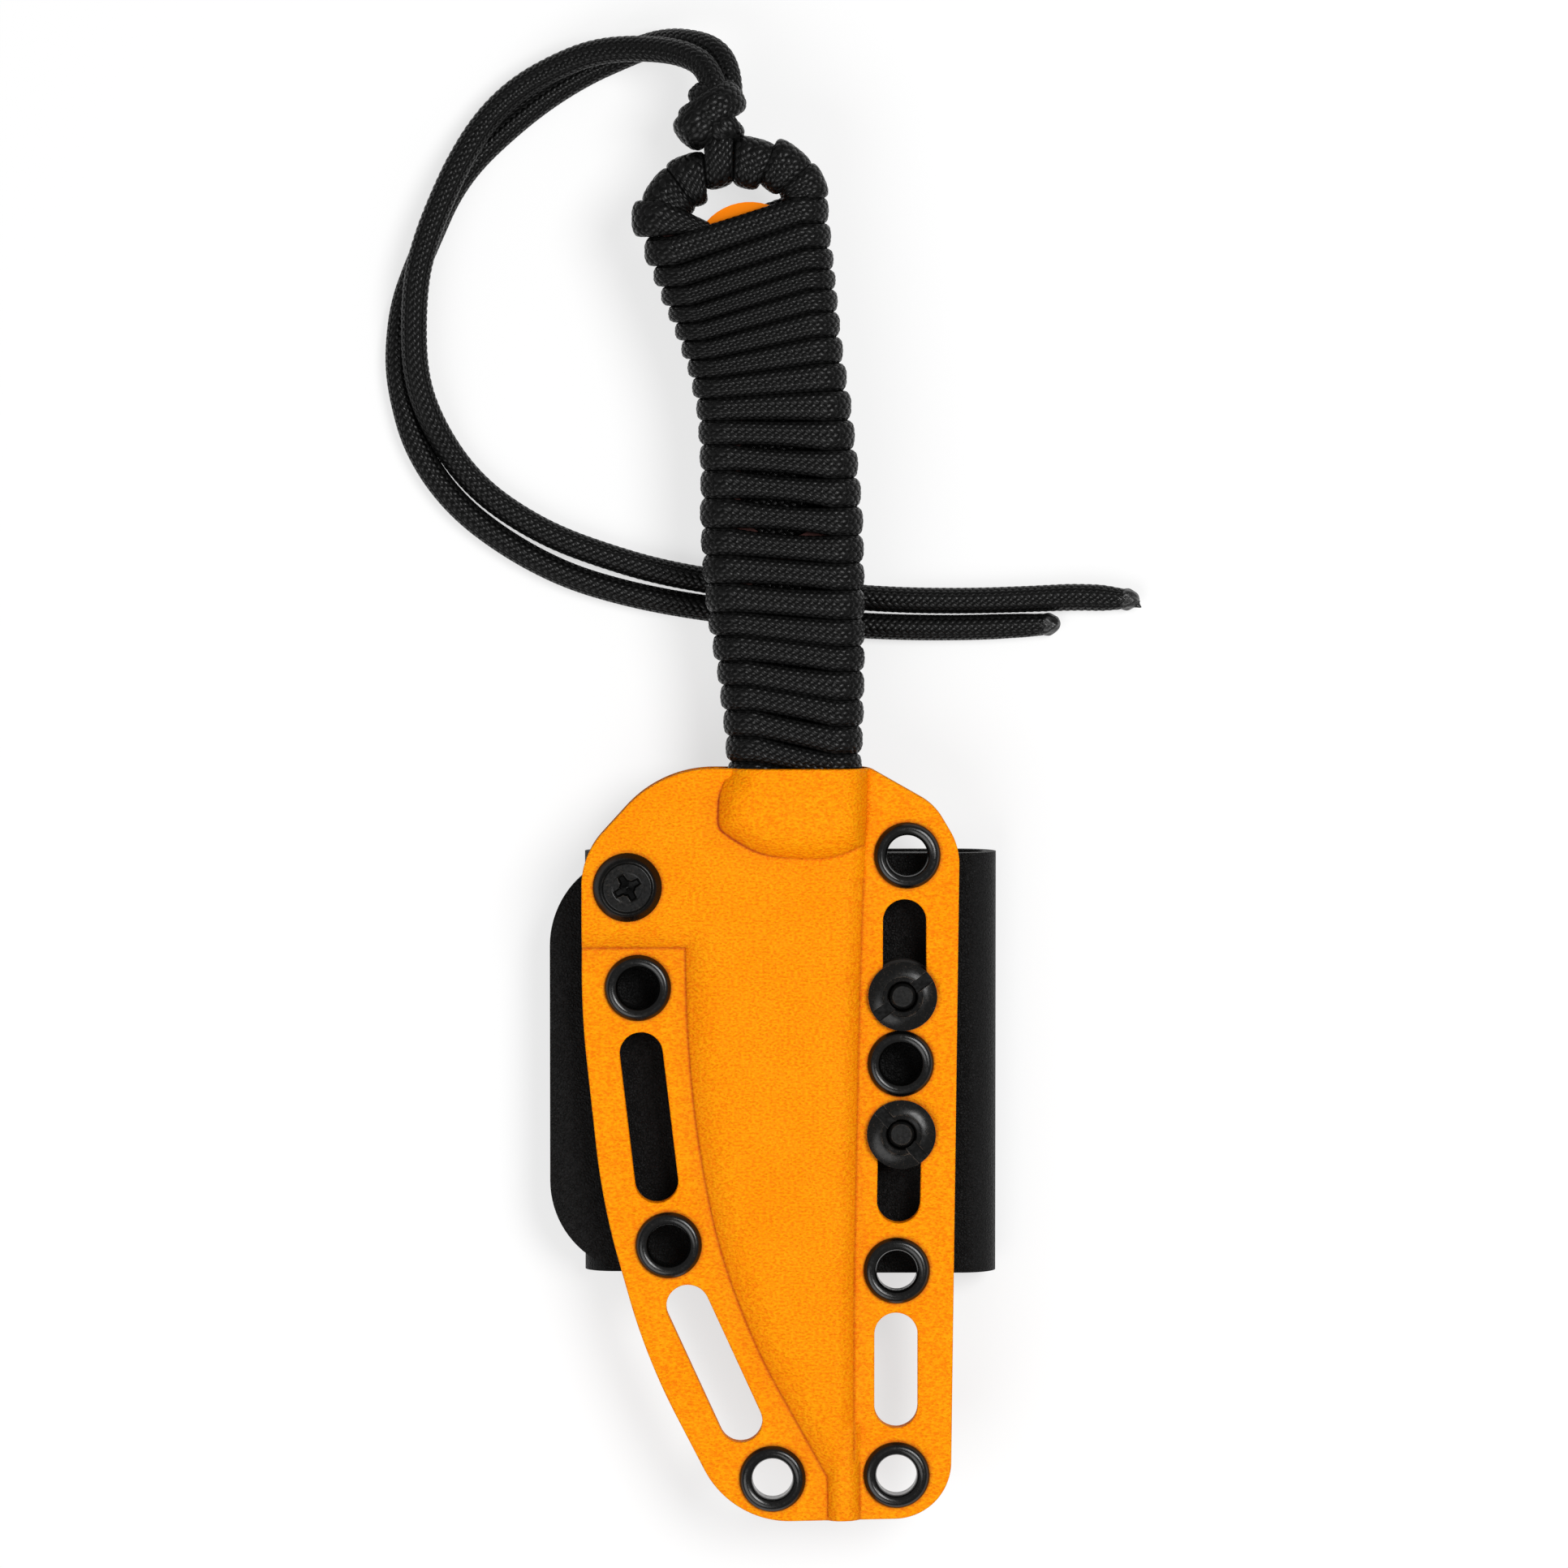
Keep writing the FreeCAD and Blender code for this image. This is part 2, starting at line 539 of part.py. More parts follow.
def sheath_shells():
    """Both shells: one two-sided form, hollowed, pierced and parted on the middle plane."""
    outer_foot = f"side_clear + pocket_raise + {SLOPE_WALL} - shell_wall"
    outer_top = f"side_clear + {SLOPE_WALL} - shell_wall"
    inner_foot = "side_clear + pocket_raise"
    drain_foot = f"{SLOPE_WALL} - shell_wall"
    drain_top = f"{SLOPE_WALL} - shell_wall - drain_height"
    half = number("drain_half")
    left, right, top = number("drain_centre") - half, number("drain_centre") + half, number("drain_start")
    drain = [(left, top, 0.0), (right, top, 0.0), (right, -OUTSIDE * 2, 0.0), (left, -OUTSIDE * 2, 0.0)]
    outside = [prism("sheath_flange", rounded(SHEATH), BACK_FACE, FRONT_FACE), throat("throat_outer", f"{THROAT_INNER} + shell_wall")]
    inside = [throat("throat_inner", THROAT_INNER)]
    for tag, face, plateau, sign in (("front", FRONT_FACE, PLATEAU, "+"), ("back", BACK_FACE, BACK_PLATEAU, "-")):
        outside.append(slope(f"pocket_outer_{tag}", POCKET, face, plateau, outer_foot, outer_top))
        outside.append(slope(f"drain_outer_{tag}", drain, face, f"({MIDDLE} {sign} (drain_height + shell_wall))",
                             drain_foot, drain_top))
        inside.append(slope(f"pocket_inner_{tag}", POCKET, MIDDLE, f"({MIDDLE} {sign} pocket_raise)",
                            inner_foot, "side_clear"))
        inside.append(slope(f"drain_inner_{tag}", drain, MIDDLE, f"({MIDDLE} {sign} drain_height)",
                            "0", "-drain_height"))
    form = shared("sheath_form", [
        joined("sheath_outside", outside),
        prism("sheath_trim", rounded(SHEATH), f"({MIDDLE} - {FAR})", f"({MIDDLE} + {FAR})"),
    ])
    holes = [rod(name + "_hole", (x, y, middle - FAR), (0, 0, 1), "eyelet_bore + eyelet_wall + rivet_clear", f"{FAR} * 2")
             for name, (x, y) in EYELETS.items()]
    holes.append(rod("retention_hole", (*RETENTION, middle - FAR), (0, 0, 1), "post_radius + post_clear", f"{FAR} * 2"))
    for name, (start, end) in SLOTS.items():
        holes.append(prism(name, obround(start, end, number(SLOT_HALF)), f"({MIDDLE} - {FAR})", f"({MIDDLE} + {FAR})"))
    hollow = cut("sheath_hollow", form, joined("sheath_inside", inside + holes))
    for label, low in (("sheath_front_shell", MIDDLE), ("sheath_back_shell", f"{MIDDLE} - {FAR}")):
        half_space = box(label + "_side", f"-{OUTSIDE} * 2", f"-{OUTSIDE} * 2", low, f"{OUTSIDE} * 4", f"{OUTSIDE} * 4", f"{FAR}")
        shared(label, [hollow, half_space])


def obround(start, end, radius):
    """Closed wire round a straight slot with full-round ends."""
    along = side(start, end)
    across = Vector(-along.y, along.x, 0) * radius
    a, b = Vector(*start, 0), Vector(*end, 0)
    return Part.Wire([
        Part.LineSegment(a + across, b + across).toShape(),
        Part.Arc(b + across, b + along * radius, b - across).toShape(),
        Part.LineSegment(b - across, a - across).toShape(),
        Part.Arc(a - across, a - along * radius, a + across).toShape(),
    ])


def eyelets():
    """Set eyelets: a barrel through both shells, a domed flange in front and a rolled one behind."""
    barrel = "eyelet_bore + eyelet_wall"
    seat = "eyelet_back + 2 * shell_wall"
    top = f"{seat} + eyelet_front"
    for name, (x, y) in EYELETS.items():
        turned(name, [
            ("eyelet_bore", "0"), ("eyelet_roll", "0"), ("eyelet_roll", "eyelet_back"), (barrel, "eyelet_back"),
            (barrel, seat), ("eyelet_flange", seat), ("eyelet_flange", f"{top} - eyelet_dome"),
            (f"{barrel} + eyelet_dome", top), ("eyelet_bore", top),
        ], f"{x}", f"{y}", f"{BACK_FACE} - eyelet_back")


def mounting():
    """Two slotted posts, each with its screw from inside the loop and a rubber spacer."""
    bore = "screw_radius + screw_clear"
    seat = f"({FRONT_FACE} - {LOOP_TOP} - post_gap)"
    crown = f"{seat} + post_rim + post_dome"
    ring_top = f"{crown} + post_ring_rise"
    shank = f"{FRONT_FACE} + screw_end - ({LAP_BOTTOM} - truss_height)"
    for name, (x, y, turn) in POSTS.items():
        post = turned(f"mount_post_{name}", [
            (bore, "0"), ("post_radius", "0"), ("post_radius", seat), ("post_head", seat),
            ("post_head", f"{seat} + post_rim"), ("post_ring", crown), ("post_ring", ring_top),
            ("post_ring - post_ring_wall", ring_top), ("post_ring - post_ring_wall", crown), (bore, crown),
        ], f"{x}", f"{y}", f"{LOOP_TOP} + post_gap")
        reach, half = number("post_head") + 1, number("driver_slot") / 2
        recess(post, [[(-reach, -half), (reach, -half), (reach, half), (-reach, half)]], ring_top,
               "post_ring_rise + driver_depth", turn)
        screw = turned(f"mount_screw_{name}", [
            ("0", "0"), ("truss_radius * 0.7", "0"), ("truss_radius", "truss_height - truss_rim"),
            ("truss_radius", "truss_height"), ("screw_radius", "truss_height"),
            ("screw_radius", f"{shank} - screw_point"), ("screw_radius - screw_point", shank), ("0", shank),
        ], f"{x}", f"{y}", f"{LAP_BOTTOM} - truss_height")
        recess(screw, [cross(number("cross_length"), number("cross_width"))], "0", "cross_depth", turn, upwards=True)
        turned(f"mount_spacer_{name}", [
            ("post_radius + post_clear", "0"), ("spacer_radius", "0"), ("spacer_radius", "spacer_height"),
            ("post_radius + post_clear", "spacer_height"),
        ], f"{x}", f"{y}", LOOP_TOP)


def retention():
    """The screw, cup washer, rubber grommet and post that set how hard the sheath grips."""
    x, y = (f"{value}" for value in RETENTION)
    bore = "screw_radius + screw_clear"
    neck = "screw_reach"
    cone = "flat_head - screw_radius"
    head_top = f"{neck} + {cone} + flat_rim"
    screw_base = f"{PLATEAU} + washer_height - flat_rim / 2 - ({head_top})"
    screw = turned("retention_screw", [
        ("0", "0"), ("screw_radius - screw_point", "0"), ("screw_radius", "screw_point"), ("screw_radius", neck),
        ("flat_head", f"{neck} + {cone}"), ("flat_head", head_top), ("0", head_top),
    ], x, y, screw_base)
    recess(screw, [cross(number("cross_length"), number("cross_width"))], head_top, "cross_depth", RETENTION_TURN)
    land = f"washer_height - flat_rim * 1.5"
    turned("retention_washer", [
        (f"flat_head + screw_clear - ({land})", "0"), ("washer_radius", "0"), ("washer_radius", "washer_rim"),
        ("flat_head + screw_clear + washer_land", "washer_height"), ("flat_head + screw_clear", "washer_height"),
        ("flat_head + screw_clear", land),
    ], x, y, PLATEAU)
    turned("retention_grommet", [
        ("post_radius + post_clear", "0"), ("grommet_radius", "0"), ("grommet_radius", "2 * pocket_raise"),
        ("post_radius + post_clear", "2 * pocket_raise"),
    ], x, y, f"{MIDDLE} - pocket_raise")
    barrel_top = "retention_flange_height + shell_wall + 2 * pocket_raise - screw_point"
    turned("retention_post", [
        (bore, "0"), ("retention_flange - retention_flange_height / 2", "0"),
        ("retention_flange", "retention_flange_height"),
        ("post_radius", "retention_flange_height"), ("post_radius", barrel_top), (bore, barrel_top),
    ], x, y, f"{BACK_PLATEAU} - retention_flange_height")


def blade_and_tang():
    """The steel: a flat plate with a ring pommel, two cut-outs and a flat-ground edge."""
    low, high = f"({MIDDLE} - blade_stock / 2)", f"({MIDDLE} + blade_stock / 2)"
    plate = prism("steel_plate", rounded(KNIFE), low, high)
    ring = grown(KNIFE, -number("ring_width"))
    x, y = CRESCENT_CENTRE
    inside_ring = [
        ring[2], ring[3], ring[4], (*at_height(ring[4], ring[5], y), 0.0), (*at_height(ring[1], ring[2], y), 0.0),
    ]
    crescent = cut("crescent", prism("ring_inside", rounded(inside_ring), low, high),
                   rod("crescent_foot", (x, y, middle - FAR), (0, 0, 1), f"{CRESCENT_RADIUS}", f"{FAR} * 2"))
    below = box("crescent_floor", f"-{OUTSIDE}", f"{y} - {FAR}", low, f"{OUTSIDE} * 2", f"{FAR} + 5", "blade_stock")
    openings = [cut("crescent_hole", crescent, below)]
    for name, corners in (("tang_hole_upper", TANG_HOLE_UPPER), ("tang_hole_lower", TANG_HOLE_LOWER)):
        openings.append(prism(name, rounded(corners), low, high))
    pierced = cut("steel_pierced", plate, joined("steel_openings", openings))
    away = 30.0
    slant = (away - TIP[0]) / (TIP[0] - BELLY[0][0])
    ground = [
        (EDGE_X, away + FAR, 0.0), *reversed(BELLY), (away, TIP[1] + slant * (TIP[1] - BELLY[0][1]), 0.0),
        (away, away + FAR, 0.0),
    ]
    faces = []
    for tag, sign in (("front", "+"), ("back", "-")):
        faces.append(slope(f"bevel_{tag}", ground, f"({MIDDLE} {sign} edge_thickness / 2)",
                           f"({MIDDLE} {sign} blade_stock / 2)", "0", "-bevel_width"))
    faces.append(prism("bevel_edge", rounded(ground), f"({MIDDLE} - edge_thickness / 2)",
                       f"({MIDDLE} + edge_thickness / 2)"))
    above = box("steel_unground", f"-{OUTSIDE}", "bevel_top", low, f"{OUTSIDE} * 2", f"{OUTSIDE} * 4", "blade_stock")
    shape_of_grind = joined("grind", faces + [above])
    return shared("blade_and_tang", [pierced, shape_of_grind]), plate


def grip(plate):
    """The flattened cord turns on the handle as one sleeve, and the two groups of turns on the ring."""
    half = number(THROAT_INNER) - number("wrap_clear")
    start = number("grip_start")
    sections = []
    for y, left, right in [(start, *GRIP[0][1:]), *GRIP]:
        loop = obround((left + half, 0), (right - half, 0), half)
        loop.rotate(Vector(0, 0, 0), Vector(1, 0, 0), 90)
        item = doc.addObject("Part::Feature", f"grip_section_{len(sections)}")
        item.Shape = loop
        item.Placement = Placement(Vector(0, y, middle), Rotation()).multiply(item.Placement)
        sections.append(item)
    sleeve = doc.addObject("Part::Loft", "grip_sleeve")
    sleeve.Sections = sections
    sleeve.Solid = True
    sleeve.Ruled = True
    (x1, y1), (x2, y2) = GRIP_END_LEFT, GRIP_END_RIGHT
    beyond = prism("grip_end", rounded([(x1 * 2 - x2, y1 * 2 - y2, 0.0), (x2 * 2 - x1, y2 * 2 - y1, 0.0),
                                        (x2 * 2 - x1, 2 * y2, 0.0), (x1 * 2 - x2, 2 * y2, 0.0)]),
                   f"({MIDDLE} - {FAR})", f"({MIDDLE} + {FAR})")
    return sleeve, cut("handle_wrap", sleeve, joined("grip_core", [plate, beyond])), beyond


def lanyard_frame(outward, height):
    """A point of the lanyard's loop: so far out from the ring's middle, at a height from the middle plane."""
    x, y = LANYARD_SEAT
    return (x - outward * math.sin(LANYARD_LEAN), y + outward * math.cos(LANYARD_LEAN), middle + height)


def ring_and_lanyard(steel, sleeve, beyond):
    """The turns on the ring, the lanyard's loop between them, its knot, two strands and melted tips."""
    ring = [
        (*at_height(KNIFE[1], KNIFE[2], RING_FOOT), 0.0), *KNIFE[2:5], (*at_height(KNIFE[4], KNIFE[5], RING_FOOT), 0.0),
    ]
    inner, outer = "(blade_stock / 2 + ring_turn - ring_turn_round)", "(blade_stock / 2 + ring_turn)"
    around = joined("ring_turns", [
        slope("ring_turns_back", ring, f"({MIDDLE} - {outer})", f"({MIDDLE} - {inner})", "ring_turn - ring_turn_round",
              "ring_turn"),
        prism("ring_turns_middle", rounded(grown(ring, number("ring_turn"))), f"({MIDDLE} - {inner})",
              f"({MIDDLE} + {inner})"),
        slope("ring_turns_front", ring, f"({MIDDLE} + {inner})", f"({MIDDLE} + {outer})", "ring_turn",
              "ring_turn - ring_turn_round"),
    ])
    hole = prism("ring_turns_hole", rounded(grown(ring, -number("ring_width + ring_turn"))), f"({MIDDLE} - {FAR})",
                 f"({MIDDLE} + {FAR})")
    gap = doc.addObject("Part::Box", "lanyard_gap")
    for prop, text in (("Length", "2 * loop_cord_radius"), ("Width", f"{FAR} * 2"), ("Height", f"{FAR} * 2")):
        bind(gap, prop, text)
    turn = Rotation(Vector(0, 0, 1), math.degrees(LANYARD_LEAN))
    across = turn.multVec(Vector(number("loop_cord_radius"), 0, 0))
    gap.Placement = Placement(Vector(*lanyard_frame(-FAR, -FAR)) - across, turn)
    cut("ring_wrap", shared("ring_turns_end", [around, beyond]), joined("ring_core", [steel, gap, hole]))
    reach, bend = number("knot_reach"), number("blade_stock / 2 + loop_cord_radius + loop_slack")
    legs = [lanyard_frame(reach, bend), lanyard_frame(-bend, bend), lanyard_frame(-bend, -bend),
            lanyard_frame(reach, -bend)]
    turn_of_cord = tube("lanyard_turn", legs, number("loop_cord_radius"), [bend * BEND_FULL] * 2)
    cut("lanyard_loop", turn_of_cord, steel)
    knot = turned("knot_form", [
        ("0", "0"), ("knot_radius * 0.6", "0"), ("knot_radius", "knot_depth * 0.6"), ("knot_radius", "knot_depth * 1.4"),
        ("knot_radius * 0.6", "knot_depth * 2"), ("0", "knot_depth * 2"),
    ], f"{KNOT[0]}", f"{KNOT[1]}", f"({MIDDLE} - knot_depth)")
    cut("lanyard_knot", knot, around)
    radius = number("cord_radius")
    for name, points in (("long", LONG_STRAND), ("short", SHORT_STRAND)):
        tube(f"lanyard_strand_{name}", points, radius)
        end, heading = Vector(*points[-1]), Vector(*points[-1]) - Vector(*points[-2])
        tip = turned(f"lanyard_tip_{name}", [
            ("0", "0"), ("cord_radius", "0"), ("cord_radius", "tip_length * 0.6"),
            ("cord_radius - tip_bulge * 3", "tip_length"), ("0", "tip_length"),
        ], f"{end.x}", f"{end.y}", f"{end.z}")
        tip.Placement = Placement(end, Rotation(Vector(0, 0, 1), heading))


NODES = [
    "blade_and_tang", "handle_wrap", "ring_wrap", "lanyard_loop", "lanyard_knot", "lanyard_strand_long",
    "lanyard_strand_short", "lanyard_tip_long", "lanyard_tip_short", "sheath_front_shell", "sheath_back_shell",
    *EYELETS, "retention_grommet", "retention_washer", "retention_post", "retention_screw",
    *(f"mount_{kind}_{name}" for name in POSTS for kind in ("post", "screw", "spacer")), "belt_loop",
]


def export():
    """Checks every object and writes each piece's solids."""
    doc.recompute()
    for item in doc.Objects:
        if "Invalid" in item.State or "Error" in item.State:
            raise RuntimeError(f"{item.Label} failed: {item.State}")
    os.makedirs("parts", exist_ok=True)
    for node in NODES:
        shape = doc.getObjectsByLabel(node)[0].Shape
        if shape.isNull() or not shape.isValid() or not shape.Solids:
            raise RuntimeError(f"{node} has no valid solid")
        shape.exportStep(f"parts/{node}.step")
        print(f"{node}: {len(shape.Solids)} solid(s), {shape.Volume:.1f} mm3")


belt_loop()
sheath_shells()
eyelets()
mounting()
retention()
steel, filled_plate = blade_and_tang()
grip_form, handle, past_grip = grip(filled_plate)
ring_and_lanyard(steel, grip_form, past_grip)
export()
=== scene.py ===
"""Dresses the rigging knife: moulded sheath sheets, braided cord turns, a knotted lanyard and worn metal.

Lengths are millimetres in the part's own frame, and become metres where a mesh, a lamp or the camera is
made. The belt loop lies on z = 0, +Y runs to the butt of the handle and +Z is out of the sheath's front.
"""

import math
from functools import partialmethod

import bpy
import numpy as np
from mathutils import Matrix, Vector
from mathutils.geometry import delaunay_2d_cdt


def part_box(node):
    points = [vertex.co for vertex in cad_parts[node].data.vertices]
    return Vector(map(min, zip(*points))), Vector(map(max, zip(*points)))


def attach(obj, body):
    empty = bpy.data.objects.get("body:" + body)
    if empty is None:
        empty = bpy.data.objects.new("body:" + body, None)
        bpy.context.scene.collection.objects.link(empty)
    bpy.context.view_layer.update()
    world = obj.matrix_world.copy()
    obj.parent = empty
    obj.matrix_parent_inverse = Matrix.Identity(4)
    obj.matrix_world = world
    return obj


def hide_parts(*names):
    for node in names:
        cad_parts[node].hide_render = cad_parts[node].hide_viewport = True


MM = 0.001
TAU = math.tau

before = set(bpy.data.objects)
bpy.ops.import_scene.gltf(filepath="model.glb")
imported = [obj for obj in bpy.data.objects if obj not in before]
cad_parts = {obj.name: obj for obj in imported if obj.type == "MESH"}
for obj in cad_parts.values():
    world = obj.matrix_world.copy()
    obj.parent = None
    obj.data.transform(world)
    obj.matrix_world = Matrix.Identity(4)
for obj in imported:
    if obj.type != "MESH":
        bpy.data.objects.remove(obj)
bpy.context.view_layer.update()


def corners(node):
    """A node's lowest and highest corners in millimetres."""
    return np.array(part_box(node)) / MM


def middle_of(node):
    """The middle of a node's box."""
    return corners(node).mean(axis=0)


def round_part(node):
    """A round upright node's middle, bottom, top and radius."""
    low, high = corners(node)
    return middle_of(node), low[2], high[2], (high[0] - low[0]) / 2


MID_Z = middle_of("blade_and_tang")[2]
STOCK = np.ptp(corners("blade_and_tang"), axis=0)[2]

# ---- Materials ----


class Value:
    """A shader value that adds up and multiplies as a number does."""

    def __init__(self, shade, socket):
        self.shade = shade
        self.socket = socket

    def calc(self, operation, *others):
        """A Math node on this value and others or numbers."""
        return self.shade.math(operation, self, *others)

    def __rsub__(self, other):
        return self.shade.math("SUBTRACT", other, self)


for sign, operation in {"add": "ADD", "sub": "SUBTRACT", "mul": "MULTIPLY", "mod": "FLOORED_MODULO",
                        "pow": "POWER", "abs": "ABSOLUTE"}.items():
    setattr(Value, f"__{sign}__", partialmethod(Value.calc, operation))


def larger(a, b):
    """The larger of two shader values or arrays."""
    return a.calc("MAXIMUM", b) if isinstance(a, Value) else np.maximum(a, b)


class Shader:
    """A principled material whose extra nodes are added by name."""

    def __init__(self, name, colour, roughness, specular=0.5):
        self.material = bpy.data.materials.new(name)
        self.material.use_nodes = True
        self.nodes = self.material.node_tree.nodes
        self.links = self.material.node_tree.links
        self.surface = self.nodes["Principled BSDF"].inputs
        self.colour(colour)
        self.rough(roughness)
        self.feed(self.surface["Specular IOR Level"], specular)

    def feed(self, socket, source):
        """Sets a socket to a number, a colour or a grey, or links a value to it."""
        if isinstance(source, Value):
            self.links.new(source.socket, socket)
        elif socket.type == "RGBA":
            socket.default_value = (*(source if isinstance(source, tuple) else [source] * 3), 1)
        else:
            socket.default_value = source

    def add(self, kind, inputs, output, **settings):
        """One output of a new node."""
        node = self.nodes.new(f"ShaderNode{kind}")
        for key, setting in settings.items():
            setattr(node, key, setting)
        for key, source in inputs.items():
            self.feed(node.inputs[key], source)
        return Value(self, node.outputs[output])

    def math(self, operation, *values):
        """A Math node on values or numbers."""
        return self.add("Math", dict(enumerate(values)), "Value", operation=operation)

    def part(self, axis, vector):
        """One coordinate of a vector."""
        return self.add("SeparateXYZ", {0: vector}, axis)

    def place(self):
        """The object's own coordinates in metres."""
        return self.add("TexCoord", {}, "Object")

    def normal(self):
        """The surface's own direction."""
        return self.add("NewGeometry", {}, "Normal")

    def scaled(self, scale):
        """The object's own coordinates times a scale along each axis."""
        return self.add("Mapping", {"Vector": self.place(), "Scale": scale}, "Vector")

    def noise(self, size, detail=2.0, stretch=None):
        """Noise from 0 to 1, its features so many millimetres."""
        where = self.scaled(stretch) if stretch else self.place()
        inputs = {"Vector": where, "Scale": 1 / (size * MM), "Detail": detail}
        return self.add("TexNoise", inputs, "Fac")

    def cells(self, size):
        """Distance from the wavering edges between cells of so many millimetres."""
        where = self.scaled([1 / (size * MM)] * 3)
        waver = self.add("TexNoise", {"Vector": where, "Scale": 1.6, "Detail": 2.0}, "Color")
        where = self.add("VectorMath", {0: waver, 1: (0.7, 0.7, 0.7), 2: where}, "Vector",
                         operation="MULTIPLY_ADD")
        return self.add("TexVoronoi", {"Vector": where, "Scale": 1.0}, "Distance",
                        feature="DISTANCE_TO_EDGE")

    def span(self, value, low, high, to_low=0.0, to_high=1.0):
        """A value moved from one range to another and kept inside it."""
        ends = {"From Min": low, "From Max": high, "To Min": to_low, "To Max": to_high}
        return self.add("MapRange", {"Value": value} | ends, "Result")

    def blend(self, factor, a, b):
        """A colour between two."""
        return self.add("Mix", {0: factor, 6: a, 7: b}, 2, data_type="RGBA")

    def colour(self, value):
        """Gives the surface its colour."""
        self.feed(self.surface["Base Color"], value)

    def rough(self, value):
        """Gives the surface its roughness."""
        self.feed(self.surface["Roughness"], value)

    def uneven(self, size, detail, low, high):
        """A surface roughness that drifts between two."""
        self.rough(self.span(self.noise(size, detail), 0.3, 0.7, low, high))

    def bump(self, height, depth):
        """Relief of so many millimetres from a height of 0 to 1, over any bump already there."""
        inputs = {"Height": height, "Distance": depth * MM}
        there = self.surface["Normal"].links
        if there:
            inputs["Normal"] = Value(self, there[0].from_socket)
        self.feed(self.surface["Normal"], self.add("Bump", inputs, "Normal"))


def moulded_orange():
    """Thermoplastic sheet with a pebbled grain, painted darker in its pits and lighter on its ridges as
    painted shade and highlight, redder and darker in the creases as painted shade, and darker round the
    metal.
    """
    shade = Shader("moulded_orange", (0.98, 0.31, 0.0), 0.5, specular=0.05)
    grain = shade.noise(0.55, 1.5, stretch=(1, 1.7, 1))
    fine = shade.noise(0.25, 2, stretch=(1, 1.4, 1))
    cloud = shade.span(shade.noise(9.0, 3), 0.3, 0.7)
    # Painted shade and highlight on the grain: darker in its pits, lighter on its ridges; the cloud is the
    # sheet's own uneven tone
    pit_shade = shade.blend(cloud, (0.9, 0.195, 0.0), (0.92, 0.215, 0.0))
    ridge_highlight = shade.blend(cloud, (0.99, 0.335, 0.0), (1.0, 0.372, 0.002))
    grain_shade_and_highlight = shade.blend(shade.span(grain + fine * 0.3, 0.47, 0.8), pit_shade, ridge_highlight)
    # The crease attribute carries painted shade in and beside the creases, and the darker sheet round the
    # metal
    crease = shade.add("Attribute", {}, "Fac", attribute_name="crease")
    shade.colour(shade.blend(crease, grain_shade_and_highlight, (0.36, 0.03, 0.012)))
    shade.rough(shade.span(fine, 0.3, 0.7, 0.42, 0.6))
    shade.bump(grain + fine * 0.2, 0.3)
    return shade.material


# A braid's picks: their pitch along the cord, width of a row, lean, half length, half width and squareness
PICK = 1.15
PICK_ROW = 0.82
PICK_LEAN = math.radians(38)
PICK_LONG = 0.6
PICK_SHORT = 0.45
PICK_FULLNESS = 3.2


def aligned(x, y, angle):
    """Coordinates along a direction at an angle and across it."""
    return x * math.cos(angle) + y * math.sin(angle), y * math.cos(angle) - x * math.sin(angle)


def pick_families(along, around):
    """Height of a braid's two crossing families of picks, at a count along it and of rows round it."""
    heights = []
    for half, lean in ((0, 1), (1, -1)):
        x = ((along + half / 2) % 1 - 0.5) * PICK
        y = ((around + half) % 2 - 1) * PICK_ROW
        lengthwise, crosswise = aligned(x, y, lean * PICK_LEAN)
        heights.append(1 - abs(lengthwise * (1 / PICK_LONG)) ** PICK_FULLNESS
                       - abs(crosswise * (1 / PICK_SHORT)) ** PICK_FULLNESS)
    return heights


def weave(along, around):
    """Height of a braid from 0 between its picks to 1 on their crowns."""
    first, second = pick_families(along, around)
    return larger(larger(first, second), 0) ** 0.5


def braided_black():
    """Braided nylon, with painted shade between its picks, glossier on their crowns, and one family of picks
    painted lighter than the other as a painted sheen.
    """
    shade = Shader("braided_black", 0.003, 0.3, specular=0.19)
    spot = shade.add("UVMap", {}, "UV", uv_map="weave")
    along, around = shade.part("X", spot), shade.part("Y", spot)
    first, second = pick_families(along, around)
    crown = weave(along, around)
    # One family of picks painted lighter than the other: a painted sheen
    picks = shade.blend(first.calc("GREATER_THAN", second), 0.0016, 0.005)
    frayed = shade.span(shade.noise(0.8, 4), 0.35, 0.7, 0.75, 1.0)
    # Near black between the picks: painted shade; the frayed noise is the cord's own uneven tone
    shade.colour(shade.blend(crown * 1.1 * frayed, 0.0002, picks))
    thread = shade.span(shade.noise(0.35, 3), 0.3, 0.7, 0.2, 0.38)
    shade.rough(shade.span(crown, 0.35, 0.8, 0.85, thread))
    shade.bump(crown, 0.09)
    shade.bump(shade.noise(0.11, 2), 0.015)
    return shade.material


def melted_black():
    """Cord end fused to a hard glossy bead."""
    shade = Shader("melted_black", 0.009, 0.22)
    shade.rough(shade.span(shade.noise(0.8, 3), 0.35, 0.65, 0.12, 0.4))
    shade.bump(shade.noise(0.7, 4), 0.25)
    return shade.material


